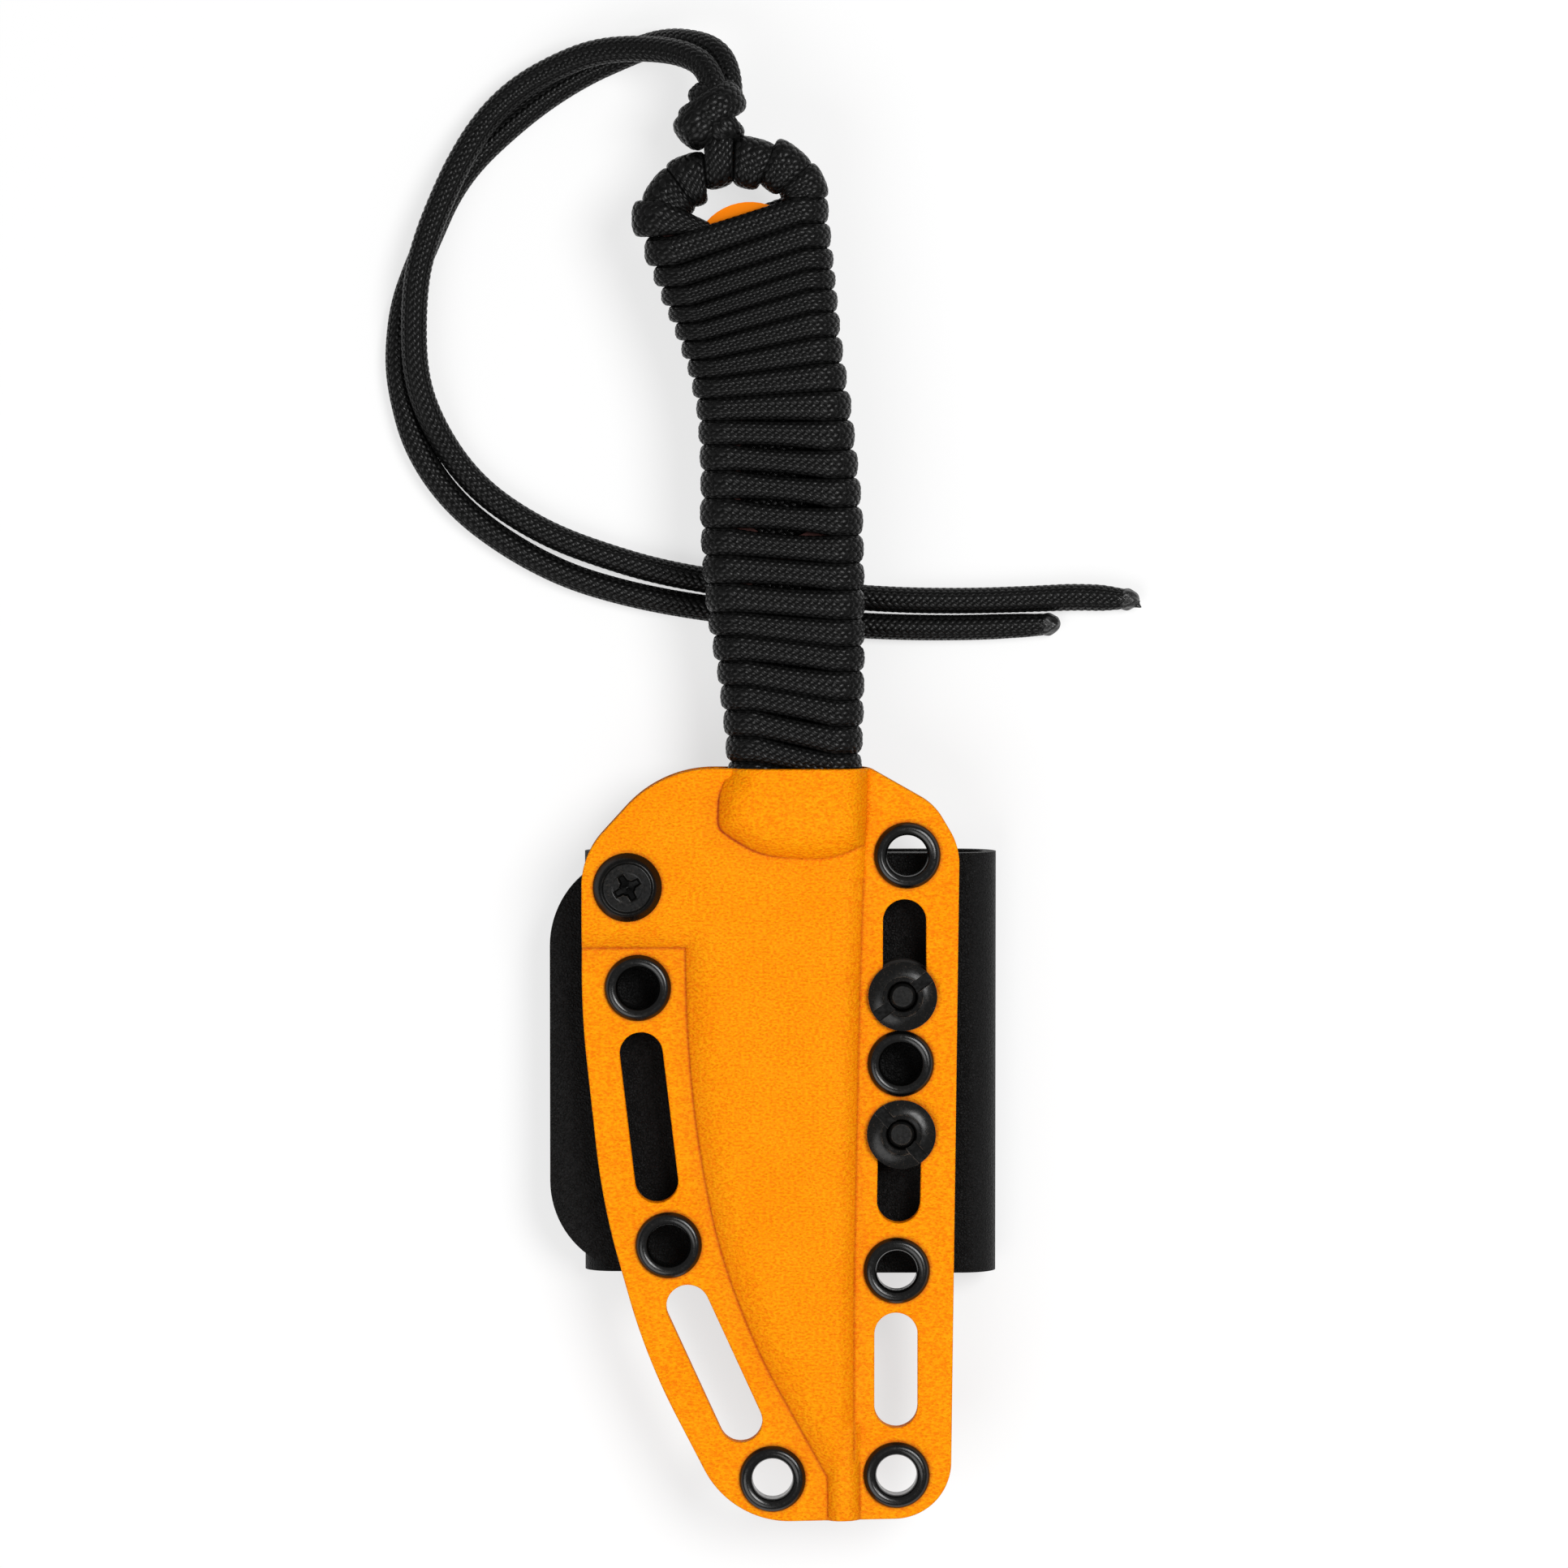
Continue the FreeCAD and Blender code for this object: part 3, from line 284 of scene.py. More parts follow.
def coated_steel():
    """Orange coating, painted dull brown under the cord as painted shade, and ground off to bright steel at
    the blade's edge.
    """
    shade = Shader("coated_steel", (0.97, 0.19, 0.0), 0.45, specular=0.05)
    coat = shade.blend(shade.noise(6.0, 2), (0.95, 0.215, 0.0), (0.98, 0.245, 0.0))
    x, y, z = (shade.part(axis, shade.place()) for axis in "XYZ")
    # Painted shade: dark brown on the tang under the cord and in the gaps between its turns
    cord_shade = shade.span(y, 38 * MM, 41 * MM) * shade.span(y + x * 0.35, 127.2 * MM, 126.0 * MM)
    coloured = shade.blend(cord_shade, coat, (0.075, 0.03, 0.027))
    bare = (shade.span(abs(z - MID_Z * MM), 0.4 * MM, 0.34 * MM)
            * shade.span(shade.part("X", shade.normal()), 0.5, 0.3) * shade.span(y, 26.2 * MM, 25.8 * MM))
    shade.colour(shade.blend(bare, coloured, (0.55, 0.55, 0.56)))
    shade.feed(shade.surface["Metallic"], bare)
    shade.uneven(0.3, 3, 0.33, 0.5)
    shade.bump(shade.noise(0.22, 3), 0.03)
    return shade.material


def black_metal(name, base, roughness, wear_and_glint, specular=0.25, top=None):
    """Blackened metal, rubbed brown where edges stand out, partly real wear and partly a painted edge
    highlight, and painted black shade below its top height, in its recesses.
    """
    shade = Shader(name, base, roughness, specular=specular)
    soft = shade.add("Bevel", {"Radius": 0.2 * MM}, "Normal", samples=4)
    same = shade.add("VectorMath", {0: soft, 1: shade.normal()}, "Value", operation="DOT_PRODUCT")
    edge = shade.span(same, 0.99, 0.8)
    patch = shade.span(shade.noise(0.9, 4), 0.42, 0.7)
    speckle = shade.span(shade.noise(0.2, 4), 0.56, 0.8, 0, 0.6)
    # Warm brown on edges and in speckles: partly real wear, partly a painted highlight along the edges
    rubbed = larger(edge * patch, speckle * patch) * wear_and_glint
    colour = shade.blend(rubbed, (base, base, base * 0.98), (0.15, 0.112, 0.085))
    if top is not None:
        # Painted shade: black below the top height, in slots, recesses and bores
        clear_of_recess_shade = shade.span(shade.part("Z", shade.place()), (top - 0.75) * MM, (top - 0.35) * MM)
        colour = shade.blend(clear_of_recess_shade, 0.0006, colour)
    shade.colour(colour)
    shade.uneven(0.5, 4, roughness - 0.06, roughness + 0.1)
    shade.bump(shade.noise(0.12, 3), 0.003)
    return shade.material


def black_sheet():
    """Black thermoplastic sheet with a fine leather grain."""
    shade = Shader("black_sheet", 0.003, 0.45, specular=0.16)
    shade.colour(shade.blend(shade.noise(5, 3), 0.0015, 0.0035))
    shade.uneven(0.4, 3, 0.42, 0.6)
    shade.bump(shade.span(shade.cells(0.5), 0, 0.35) + shade.noise(0.2, 3) * 0.5, 0.11)
    return shade.material


def black_rubber():
    """Dull rubber with a little dust."""
    shade = Shader("black_rubber", 0.012, 0.75, specular=0.3)
    shade.colour(shade.blend(shade.noise(1.5, 4), 0.008, (0.022, 0.021, 0.02)))
    shade.bump(shade.noise(0.15, 3), 0.02)
    return shade.material


# ---- Meshes ----


def mesh_object(name, points, faces, crease=None, spots=None):
    """A smooth mesh from points and faces of one size, with the painted shade of its creases or a map."""
    mesh = bpy.data.meshes.new(name)
    mesh.from_pydata((points * MM).reshape(-1, 3).tolist(), [], faces.tolist(), shade_flat=False)
    mesh.validate()
    if crease is not None:
        mesh.attributes.new("crease", "FLOAT", "POINT").data.foreach_set("value", crease.astype(np.float32))
    if spots is not None:
        mesh.uv_layers.new(name="weave").data.foreach_set("uv", spots.astype(np.float32).ravel())
    return linked(name, mesh)


def linked(name, data):
    """An object in the scene."""
    item = bpy.data.objects.new(name, data)
    bpy.context.scene.collection.objects.link(item)
    return item


def quads(rows, columns, close_rows=False):
    """The faces of a grid of points whose columns go round."""
    row = np.arange(rows if close_rows else rows - 1)[:, None]
    column = np.arange(columns)[None, :]
    beside, start, after = (column + 1) % columns, row * columns, (row + 1) % rows * columns
    grid = [start + column, start + beside, after + beside, after + column]
    return np.stack(np.broadcast_arrays(*grid), -1).reshape(-1, 4)


def caps(rows, columns):
    """The faces that close the first and last rows of such a grid, as rungs."""
    step = np.arange(columns // 2 - 1)
    rungs = np.stack([step, step + 1, columns - 2 - step, columns - 1 - step], -1)
    return np.vstack([rungs[:, ::-1], rungs + (rows - 1) * columns])


def fit(item, material, body, node):
    """Gives a piece its material and body, and hides the CAD node that it stands for."""
    item.data.materials.append(material)
    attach(item, body)
    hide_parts(node)


def even_angles(count):
    """Angles at even steps all the way round."""
    return np.linspace(0, TAU, count, endpoint=False)


def spun(centre, radius, height, turn):
    """Points at angles round an upright axis."""
    return np.stack([centre[0] + radius * np.cos(turn), centre[1] + radius * np.sin(turn),
                     np.broadcast_to(height, turn.shape)], -1)


def unit(vectors):
    """Vectors made one long."""
    return vectors / np.linalg.norm(vectors, axis=-1, keepdims=True)


def clamp(value):
    """A number kept between 0 and 1."""
    return np.clip(value, 0, 1)


def fading(apart, width):
    """1 where two things meet, falling off over a width."""
    return np.exp(-(apart / width) ** 2)


def flat_line(points):
    """Points in the plane as points in space."""
    return np.pad(np.array(points, float), ((0, 0), (0, 1)))


def measured(points, closed=False):
    """Length along a line at each of its points, and its whole length."""
    along = np.concatenate([[0.0], np.cumsum(np.linalg.norm(np.diff(points, axis=0), axis=1))])
    return along, along[-1] + (np.linalg.norm(points[0] - points[-1]) if closed else 0.0)


def resampled(points, step, closed=False):
    """Points at even steps along a line."""
    if closed:
        points = np.vstack([points, points[:1]])
    along, total = measured(points)
    count = max(int(round(total / step)), 2)
    stations = np.linspace(0, total, count, endpoint=False) if closed else np.linspace(0, total, count + 1)
    return np.stack([np.interp(stations, along, points[:, axis]) for axis in range(3)], -1)


def smooth_line(points, closed=False, share=24):
    """A curve through given points, rounded between them (Catmull-Rom)."""
    points = np.asarray(points, float)
    before, after = ((points[-1:], points[:2]) if closed else
                     ([2 * points[0] - points[1]], [2 * points[-1] - points[-2]]))
    points = np.vstack([before, points, after])
    t = np.linspace(0, 1, share, endpoint=False)[:, None]
    line = [b + (c - a) * t / 2 + (a - 2.5 * b + 2 * c - d / 2) * t ** 2 + (3 * (b - c) + d - a) * t ** 3 / 2
            for a, b, c, d in zip(points, points[1:], points[2:], points[3:])]
    return np.vstack(line if closed else [*line, points[-2:-1]])


def tangents(line, closed=False):
    """Unit direction of a line at each point."""
    return unit(np.roll(line, -1, axis=0) - np.roll(line, 1, axis=0) if closed else
                np.gradient(line, axis=0))


def carried(line, first):
    """Two directions across a line, carried along it without twist."""
    way = tangents(line)
    ups = np.empty_like(line)
    up = np.asarray(first, float)
    for index, heading in enumerate(way):
        up = unit(up - heading * up.dot(heading))
        ups[index] = up
    return np.cross(ups, way), ups


# ---- Braided cord ----

CORD_RADIUS = 2.03
CARRIERS = 16
PICK_HEIGHT = 0.24
# Share of a pick's height that lies within the cord's radius
PICK_BASE = 0.72
ROW_STEP = 0.22
SECTION = 56


def squared(turn, squareness):
    """Shares across and up a superellipse, at angles round it."""
    return [np.sign(part) * np.abs(part) ** (2 / squareness) for part in (np.cos(turn), np.sin(turn))]


def section(half_width, half_depth, squareness, crowd, count):
    """Steps round a section, crowded towards its top: shares of the way round, width and depth."""
    across, up = squared(np.linspace(0, TAU, 2001), squareness)
    length, total = measured(np.stack([across * half_width, up * half_depth], -1))
    share = np.arange(count) / count
    share = share + crowd / TAU * np.cos(TAU * share)
    across, up = (np.interp(share, length / total, part, period=1) for part in (across, up))
    return share, across, up


def braid(line, sides, ups, half_width, half_depth, closed=False, squareness=2.0, crowd=0.0, count=SECTION):
    """Points, faces and map of a braided cord, half_width along sides and half_depth along ups."""
    rows = len(line)
    half_width, half_depth = (np.broadcast_to(half, (rows,))[:, None] for half in (half_width, half_depth))
    along, total = measured(line, closed)
    along, total = along / PICK, total / PICK
    if closed:
        along, total = along * round(total) / total, round(total)
    share, across, up = section(half_width.mean(), half_depth.mean(), squareness, crowd, count)
    around = share * CARRIERS
    raised = (weave(along[:, None], around[None, :]) - PICK_BASE) * PICK_HEIGHT
    width, depth = (half_width + raised) * across, (half_depth + raised) * up
    points = line[:, None, :] + sides[:, None, :] * width[..., None] + ups[:, None, :] * depth[..., None]
    faces = quads(rows, count, close_rows=closed)
    stations, rim = np.append(along, total), np.append(around, around[0] + CARRIERS)
    row, column = np.divmod(np.arange(len(faces)), count)
    spots = np.stack([np.stack([stations[row + ahead], rim[column + beside]], -1)
                      for ahead, beside in ((0, 0), (0, 1), (1, 1), (1, 0))], 1)
    if not closed:
        ends = caps(rows, count)
        row, column = np.divmod(ends, count)
        faces = np.vstack([faces, ends])
        spots = np.vstack([spots, np.stack([along[row], around[column]], -1)])
    return points.reshape(-1, 3), faces, spots


def braided(name, parts, material, node):
    """One piece on the knife from several braided cords."""
    points, faces, spots = zip(*parts)
    starts = np.cumsum([0] + [len(part) for part in points])
    faces = np.vstack([part + start for part, start in zip(faces, starts)])
    item = mesh_object(name, np.vstack(points), faces, spots=np.vstack(spots))
    fit(item, material, "knife", node)
    return item


# ---- Lanyard ----

FLOOR = 2.1
# The cords' routes, the same points as in the part's source; one with no height of its own lies on the floor
LONG_STRAND = [
    (-11.6, 152.3, 18), (-12.6, 156.3, 16.6), (-16.8, 158.8, 13.4), (-23.3, 159.6, 10), (-30.4, 159.2, 7.8),
    (-36.6, 156.9, 6.3), (-43, 153.3, 5.2), (-48.1, 148.3, 5), (-52, 142.1, 6), (-54.8, 136.1, 6.5),
    (-57.2, 130.1, 6.6), (-58.9, 123.9, 6.5), (-59.4, 115.8, 6.1), (-59.1, 108.6, 5.5), (-57.4, 102.5, 4.6),
    (-53.8, 95.7), (-49.2, 90.3), (-43.6, 86.1), (-36.8, 82.4), (-28.5, 79.45), (-20.9, 77.25), (-12, 75.6),
    (-2.5, 74.3), (7.5, 73.4), (17.5, 72.7), (28.4, 72.6), (38, 72.9), (46.6, 73.3), (52.4, 72.9),
]
SHORT_STRAND = [
    (-9.5, 152.3, 15.2), (-9.6, 156, 13.8), (-12, 159.6, 11.4), (-17.1, 160.8, 8), (-21.4, 160.5, 4.9),
    (-26.3, 158.6, 2.8), (-32.6, 155.8), (-39.3, 151.6), (-45.3, 146.7), (-50.4, 141.8), (-54.1, 136.5),
    (-56.7, 130.6), (-59.2, 124.9), (-61.1, 119.6), (-61.9, 114), (-62, 108.9), (-61.1, 103.6),
    (-59.5, 97.9), (-56.3, 92.1), (-51.8, 86.9), (-46.4, 82.7), (-40.5, 79.1), (-34.2, 76.2), (-26.8, 74),
    (-19.4, 72.4), (-11.6, 71.2), (-2.5, 69.9), (7.5, 68.9), (17.5, 68.4), (27.5, 68.35), (34.6, 68.6),
    (39.9, 68.85),
]
# Each strand's route, length in metres, half widths at distances from its end, and reach of its bead's spur
STRANDS = {
    "long": (LONG_STRAND, 0.214, [(0, 1.62), (1.5, 1.85), (4, 2.13), (8, 2.2), (14, 2.1), (22, 2)], 0.9),
    "short": (SHORT_STRAND, 0.212, [(0, 1.68), (3, 1.85), (8, 1.96), (20, 2)], 0),
}
LANYARD_X = -11.15


def route_line(name, points):
    """Points along the smooth line that a cord's route stands for."""
    curve = bpy.data.curves.new(name, "CURVE")
    curve.dimensions = "3D"
    curve.resolution_u = 24
    spline = curve.splines.new("NURBS")
    spline.points.add(len(points) - 1)
    for place, point in zip(spline.points, points):
        place.co = (*(value * MM for value in (*point, FLOOR)[:3]), 1)
    spline.order_u = 3
    spline.use_endpoint_u = True
    item = linked(name, curve)
    bpy.context.view_layer.update()
    line = bpy.data.meshes.new_from_object(item.evaluated_get(bpy.context.evaluated_depsgraph_get()))
    places = np.empty(len(line.vertices) * 3, np.float32)
    line.vertices.foreach_get("co", places)
    bpy.data.objects.remove(item)
    bpy.data.curves.remove(curve)
    bpy.data.meshes.remove(line)
    return places.reshape(-1, 3).astype(float) / MM


def strands(cord_material, tip_material):
    """The lanyard's two strands and the melted beads that end them."""
    for name, (points, length, girths, spur) in STRANDS.items():
        line = resampled(route_line(f"route_{name}", points), ROW_STEP)
        along, total = measured(line)
        sides, ups = carried(line, (0, 0, 1))
        wide = np.interp(total - along, *zip(*girths))
        deep = np.minimum(wide, CORD_RADIUS - 0.03)
        parts = [braid(line, sides, ups, wide, deep)]
        strand = braided(f"strand_{name}", parts, cord_material, f"lanyard_strand_{name}")
        tip = melted_tip(f"tip_{name}", line[-1], tangents(line)[-1], wide[-1] - 0.02, spur)
        fit(tip, tip_material, "knife", f"lanyard_tip_{name}")


TIP_REACH = 2.9


def melted_tip(name, place, heading, radius, spur):
    """A bead of fused cord: a wavy lip, a bulge and a round end with a drawn-out spur."""
    rows, columns = 56, 64
    t = np.linspace(0, 0.985, rows)[:, None]
    turn = even_angles(columns)
    lip = -1.0 - 0.45 * np.sin(3 * turn + 0.7) - 0.25 * np.sin(7 * turn)
    along = np.sin(t * math.pi / 2)
    height = lip * (1 - t) + TIP_REACH * along
    lumps = 0.13 * np.sin(2 * turn + 7 * t) * np.sin(5 * t) + 0.07 * np.sin(5 * turn - 9 * t)
    waist = 0.22 * fading(along - 0.3, 0.14)
    girth = (radius * (1 + 0.06 * np.sin(3.3 * along)) - waist + lumps) * clamp(1 - along ** 5) ** 0.5
    girth = girth + 0.12 * np.exp(-9 * t) - 0.2 * np.exp(-60 * t)
    drawn = spur * fading(turn - 0.4, 0.2) * fading(along - 0.93, 0.05)
    girth, height = girth + 0.3 * drawn, height + drawn
    side = unit(np.cross(heading, (0, 0, 1)))
    up = np.cross(side, heading)
    points = (place + height[..., None] * heading + (girth * np.cos(turn))[..., None] * side
              + (girth * np.sin(turn))[..., None] * up)
    return mesh_object(name, points, np.vstack([quads(rows, columns), caps(rows, columns)])[:, ::-1])


LOOP_HALF_WIDTH = 2.35
LOOP_HALF_DEPTH = 1.25
# The lanyard's front leg in section: heights up the handle and out of its middle plane
LOOP_LEG = [(148.4, 1.3), (146.2, 2.2), (143.9, 2.85), (141.5, 2.95), (139.6, 2.3), (138.9, 1.2)]
LOOP_FOOT = (138.8, 0.0)
LOOP_LEAN = 0.3


def lanyard_loop(material):
    """The lanyard's turn round the ring, both legs running up into the knot."""
    path = LOOP_LEG + [LOOP_FOOT] + [(y, -z) for y, z in reversed(LOOP_LEG)]
    line = resampled(smooth_line([(LANYARD_X, y, MID_Z + z) for y, z in path]), ROW_STEP)
    sides = np.broadcast_to(unit(np.array([-1.0, -LOOP_LEAN, 0.0])), line.shape)
    ups = unit(np.cross(tangents(line), sides))
    parts = [braid(line, sides, ups, LOOP_HALF_WIDTH, LOOP_HALF_DEPTH, squareness=2.4)]
    braided("ring_loop", parts, material, "lanyard_loop")


def upright_loop(middle, heading, out, up):
    """A closed line round an upright plane, and the two directions across the cord along it."""
    line = middle + heading * out[:, None] + np.array([0, 0, 1]) * up[:, None]
    line = resampled(line, ROW_STEP, closed=True)
    sides = np.broadcast_to(np.cross(heading, (0, 0, 1)), line.shape)
    return line, sides, np.cross(tangents(line, closed=True), sides)


# The knot's turns: middle from the knot's middle, lean, reach, half depth, half width and half thickness
KNOT_TURNS = [
    ((0.2, 0.55), 33, 3.8, 3.4, 2.85, 1.6),
    ((1.7, -2.3), -50, 1.9, 2.9, 2.6, 1.6),
    ((-2.0, -1.9), 224, 1.8, 3.0, 3.1, 1.8),
    ((-0.5, 1.8), 122, 1.7, 1.9, 2.3, 1.6),
]


def knot(material):
    """The knot pulled tight: a band of cord across the front, over the turns below it."""
    parts = []
    turn = even_angles(160)
    for (x, y), lean, reach, lift, half_width, half_depth in KNOT_TURNS:
        heading = spun((0, 0), 1, 0, np.radians(lean))
        middle = middle_of("lanyard_knot") + (x, y, 0)
        loop = upright_loop(middle, heading, reach * np.cos(turn), lift * np.sin(turn))
        parts.append(braid(*loop, half_width, half_depth, closed=True, squareness=2.2))
    braided("tied_knot", parts, material, "lanyard_knot")


# ---- Cord turns on the handle and the ring ----

# Heights of the seams between turns, at the handle's left and right side
SEAMS_LEFT = [
    129.9, 125.5, 122.3, 119.3, 116.7, 113.9, 111, 108.1, 104.9, 101.4, 97.6, 93.6, 89.2, 84.6, 80.4, 76,
    71.5, 67.9, 63.9, 60.1, 56.2, 52.1, 48.1, 44.2, 40.4,
]
SEAMS_RIGHT = [
    136.1, 132, 128.1, 124.8, 121.7, 118.2, 114.3, 110.2, 105.9, 101.3, 96.7, 92.3, 87.8, 83.4, 79.1, 74.9,
    70.3, 66.1, 62.2, 57.7, 53.6, 49.3, 45.2, 41.6, 39,
]
# The grip's sides at heights up the handle: (y, left x, right x)
GRIP = [
    (39, -9.6, 11), (47, -9.9, 11.2), (55, -10.6, 11.5), (62, -11.5, 11.65), (70, -12.9, 11.7),
    (78, -13.8, 11.6), (86, -14.2, 11.4), (92, -14.1, 10.9), (98, -14.3, 10.2), (104, -14.8, 9.5),
    (110, -16.2, 8.5), (116, -18.3, 7.8), (122, -20.7, 7.2), (129, -23.3, 6.5), (133, -24.9, 6),
]
TURN_DEPTH = 3.0
TURN_OUT = STOCK / 2 + TURN_DEPTH / 2
TURN_REACH = TURN_OUT + TURN_DEPTH / 2
TURN_SECTION = 48
TURN_CROWD = 0.4
# Turns that lie apart from the next one in the middle of the handle: seam and gap
GAPS = {9: 0.4, 10: 0.8, 11: 0.8, 12: 1.1, 13: 1.0, 14: 0.3, 15: 0.7, 16: 0.3, 18: 0.5, 20: 0.6, 21: 0.5}
# Where the ring's cord goes on to the first full turn: x, y and half width
RING_END = (1.5, 135.0, 1.9)
# The turn at the ring's left foot: its start behind, its side and its tucked end
FOOT_START = (-17.6, 133.0, 1.8)
FOOT_TURN = (-22.0, 132.8, 2.75)
FOOT_TUCK = (-12.6, 131.5, 0.5)


def grip_side(y, which):
    """The x of the grip's left (1) or right (2) side at a height."""
    table = np.array(GRIP)
    return np.interp(y, table[:, 0], table[:, which])


def wound(stations):
    """A flat cord's braid, over stations of x, y, height from the middle plane and half width."""
    stations = np.vstack(stations)
    along, total = measured(stations[:, :3])
    line = resampled(stations[:, :3], ROW_STEP)
    wide = np.interp(np.linspace(0, total, len(line)), along, stations[:, 3])
    bend = np.sqrt(np.clip(TURN_OUT ** 2 - line[:, 2] ** 2, 0, None))
    flat = np.abs(line[:, 2]) > TURN_OUT - 1e-3
    out = np.stack([np.where(flat, 0, np.sign(line[:, 0]) * bend), np.zeros(len(line)), line[:, 2]], -1)
    way = tangents(line)
    sides = unit(np.cross(out, way))
    return braid(line + (0, 0, MID_Z), sides, np.cross(way, sides), wide + 0.06, TURN_DEPTH / 2 - 0.05,
                 squareness=2.7, crowd=TURN_CROWD, count=TURN_SECTION)


def crossing(start, end, height, half_widths, bow=0.0, slack=0.0):
    """Stations of a run over the handle's front or back, bowed and narrowed by a gap."""
    t = np.linspace(0, 1, 40, endpoint=False)
    belly = np.sin(math.pi * t) ** 0.7
    x, y, wide = (a + (b - a) * t for a, b in zip((*start, half_widths[0]), (*end, half_widths[1])))
    return np.stack([x, y + bow * belly, np.full(len(t), height), wide - slack * belly], -1)


def rounding(x, y, side, half_width):
    """Stations of a half turn round the grip's right (1) or left (-1) side."""
    t = np.linspace(0, math.pi, 24, endpoint=False)
    return np.stack([x + side * TURN_OUT * np.sin(t), np.full(len(t), y), side * TURN_OUT * np.cos(t),
                     np.full(len(t), half_width)], -1)


def left_end(y):
    """Where a turn at a height starts to round the grip's left side."""
    return grip_side(y, 1) + TURN_REACH, y


def handle_turns(material):
    """One cord wound down the handle: across the front, round the side and back behind."""
    lefts, rights = ([((a + b) / 2, (a - b) / 2) for a, b in zip(seams, seams[1:])]
                     for seams in (SEAMS_LEFT, SEAMS_RIGHT))
    # The cord comes from behind the ring's right foot to its first full turn
    stations = [crossing(RING_END[:2], left_end(lefts[0][0]), -TURN_OUT, (RING_END[2], lefts[0][1]))]
    for index, ((left, left_wide), (right, right_wide)) in enumerate(zip(lefts, rights)):
        start, end = left_end(left), (grip_side(right, 2) - TURN_REACH, right)
        above, below = GAPS.get(index, 0.0) / 4, GAPS.get(index + 1, 0.0) / 4
        stations += [rounding(*start, -1, left_wide),
                     crossing(start, end, TURN_OUT, (left_wide, right_wide), below - above, above + below),
                     rounding(*end, 1, right_wide)]
        if index + 1 < len(lefts):
            after, after_wide = lefts[index + 1]
            stations.append(crossing(end, left_end(after), -TURN_OUT, (right_wide, after_wide)))
    # The ring's last turn goes round the left side and under the first full turn
    foot = left_end(FOOT_TURN[1])
    tucked = crossing(foot, FOOT_TUCK[:2], TURN_OUT, (FOOT_TURN[2], FOOT_TUCK[2]))
    tucked[:, 2] -= np.linspace(0, 0.9, len(tucked)) ** 2
    over = [crossing(FOOT_START[:2], foot, -TURN_OUT, (FOOT_START[2], FOOT_TURN[2])),
            rounding(*foot, -1, FOOT_TURN[2]), tucked]
    braided("handle_turns", [wound(stations), wound(over)], material, "handle_wrap")


# Seams between the turns on the ring, clockwise from its left foot: outer and inner end
RING_SEAMS = [
    ((-23.0, 135.5), (-16.7, 133.7)), ((-19.2, 140.6), (-15.1, 134.8)), ((-13.65, 143.2), (-13.4, 136.4)),
    ((-8.75, 144.3), (-8.8, 138.2)), ((-2.1, 144.8), (-5.1, 138.4)), ((3.4, 141.4), (-1.5, 137.7)),
    ((5.6, 136.3), (0.0, 135.3)),
]
# The seams between which the lanyard's loop lies: this one and the next
LANYARD_SEAM = 2
SEAM_INSET = 0.8
RING_TURN_DEPTH = 2.25


def ring_turns(material):
    """Turns of cord round the ring, each wider at the rim, either side of the lanyard."""
    parts = []
    seams = np.array(RING_SEAMS)
    across, upward = squared(even_angles(160), 3.2)
    for index, (before, after) in enumerate(zip(seams, seams[1:])):
        if index == LANYARD_SEAM:
            continue
        outer, inner = (before + after) / 2
        reach = np.linalg.norm(outer - inner)
        outward = np.array([*(outer - inner) / reach, 0.0])
        middle = np.array([*(outer + inner) / 2, MID_Z])
        outer_wide, inner_wide = np.linalg.norm(after - before, axis=1) / 2
        loop = upright_loop(middle, outward, across * (reach / 2 + SEAM_INSET - RING_TURN_DEPTH / 2),
                            upward * (STOCK / 2 + RING_TURN_DEPTH / 2))
        share = clamp((loop[0] - middle) @ outward / reach + 0.5)
        wide = inner_wide + (outer_wide - inner_wide) * share + 0.12
        parts.append(braid(*loop, wide, RING_TURN_DEPTH / 2, closed=True, squareness=2.6, crowd=TURN_CROWD,
                           count=TURN_SECTION))
    braided("ring_turns", parts, material, "ring_wrap")


# ---- Sheath ----

WALL = 1.6
FACE = MID_Z + WALL
RAISE = 1.85
THROAT_RAISE = corners("sheath_front_shell")[1, 2] - FACE - RAISE
HOLE_CLEAR = 0.05
# Corners as (x, y, radius of the rounding)
OUTLINE = [
    (-20.2, 47, 18.5), (-32.7, 33.3, 12), (-32.7, 8, 130), (-29.5, -21.5, 110), (-22.6, -46, 100),
    (-9.2, -71.9, 15), (25.2, -71.1, 9), (26.5, 34.6, 9.5), (22.6, 41.2, 9), (12.4, 47, 2),
]
# Where the relief meets the sheet below it: along the blade's spine and edge, above it and round the throat
SPINE_CREASE = [
    (12.7, 60), (12.2, 46), (11.8, 34.6), (11.2, 20.6), (10.6, -4.8), (10.1, -36), (10.05, -61.6),
]
EDGE_CREASE = [
    (5.7, -64.6), (1.2, -56.5), (-4.7, -45.5), (-9.35, -34), (-12.4, -23.2), (-14.85, -9), (-16.2, 6),
    (-16.55, 18.75),
]
STEP_CREASE = [(-16.55, 18.75), (-60, 18.6)]
THROAT_CREASE = [
    (-8.4, 60), (-9, 47.2), (-10.3, 45.2), (-11.1, 43), (-11.35, 40.4), (-11.2, 37.9), (-9.7, 36.4),
    (-6, 34.2), (-2.6, 33.2), (2.7, 32.8), (7.1, 33.2), (11.75, 35),
]
DRAIN_CREASES = [[(5.75, -64.9), (5.9, -80)], [(10.95, -62.6), (11, -80)]]
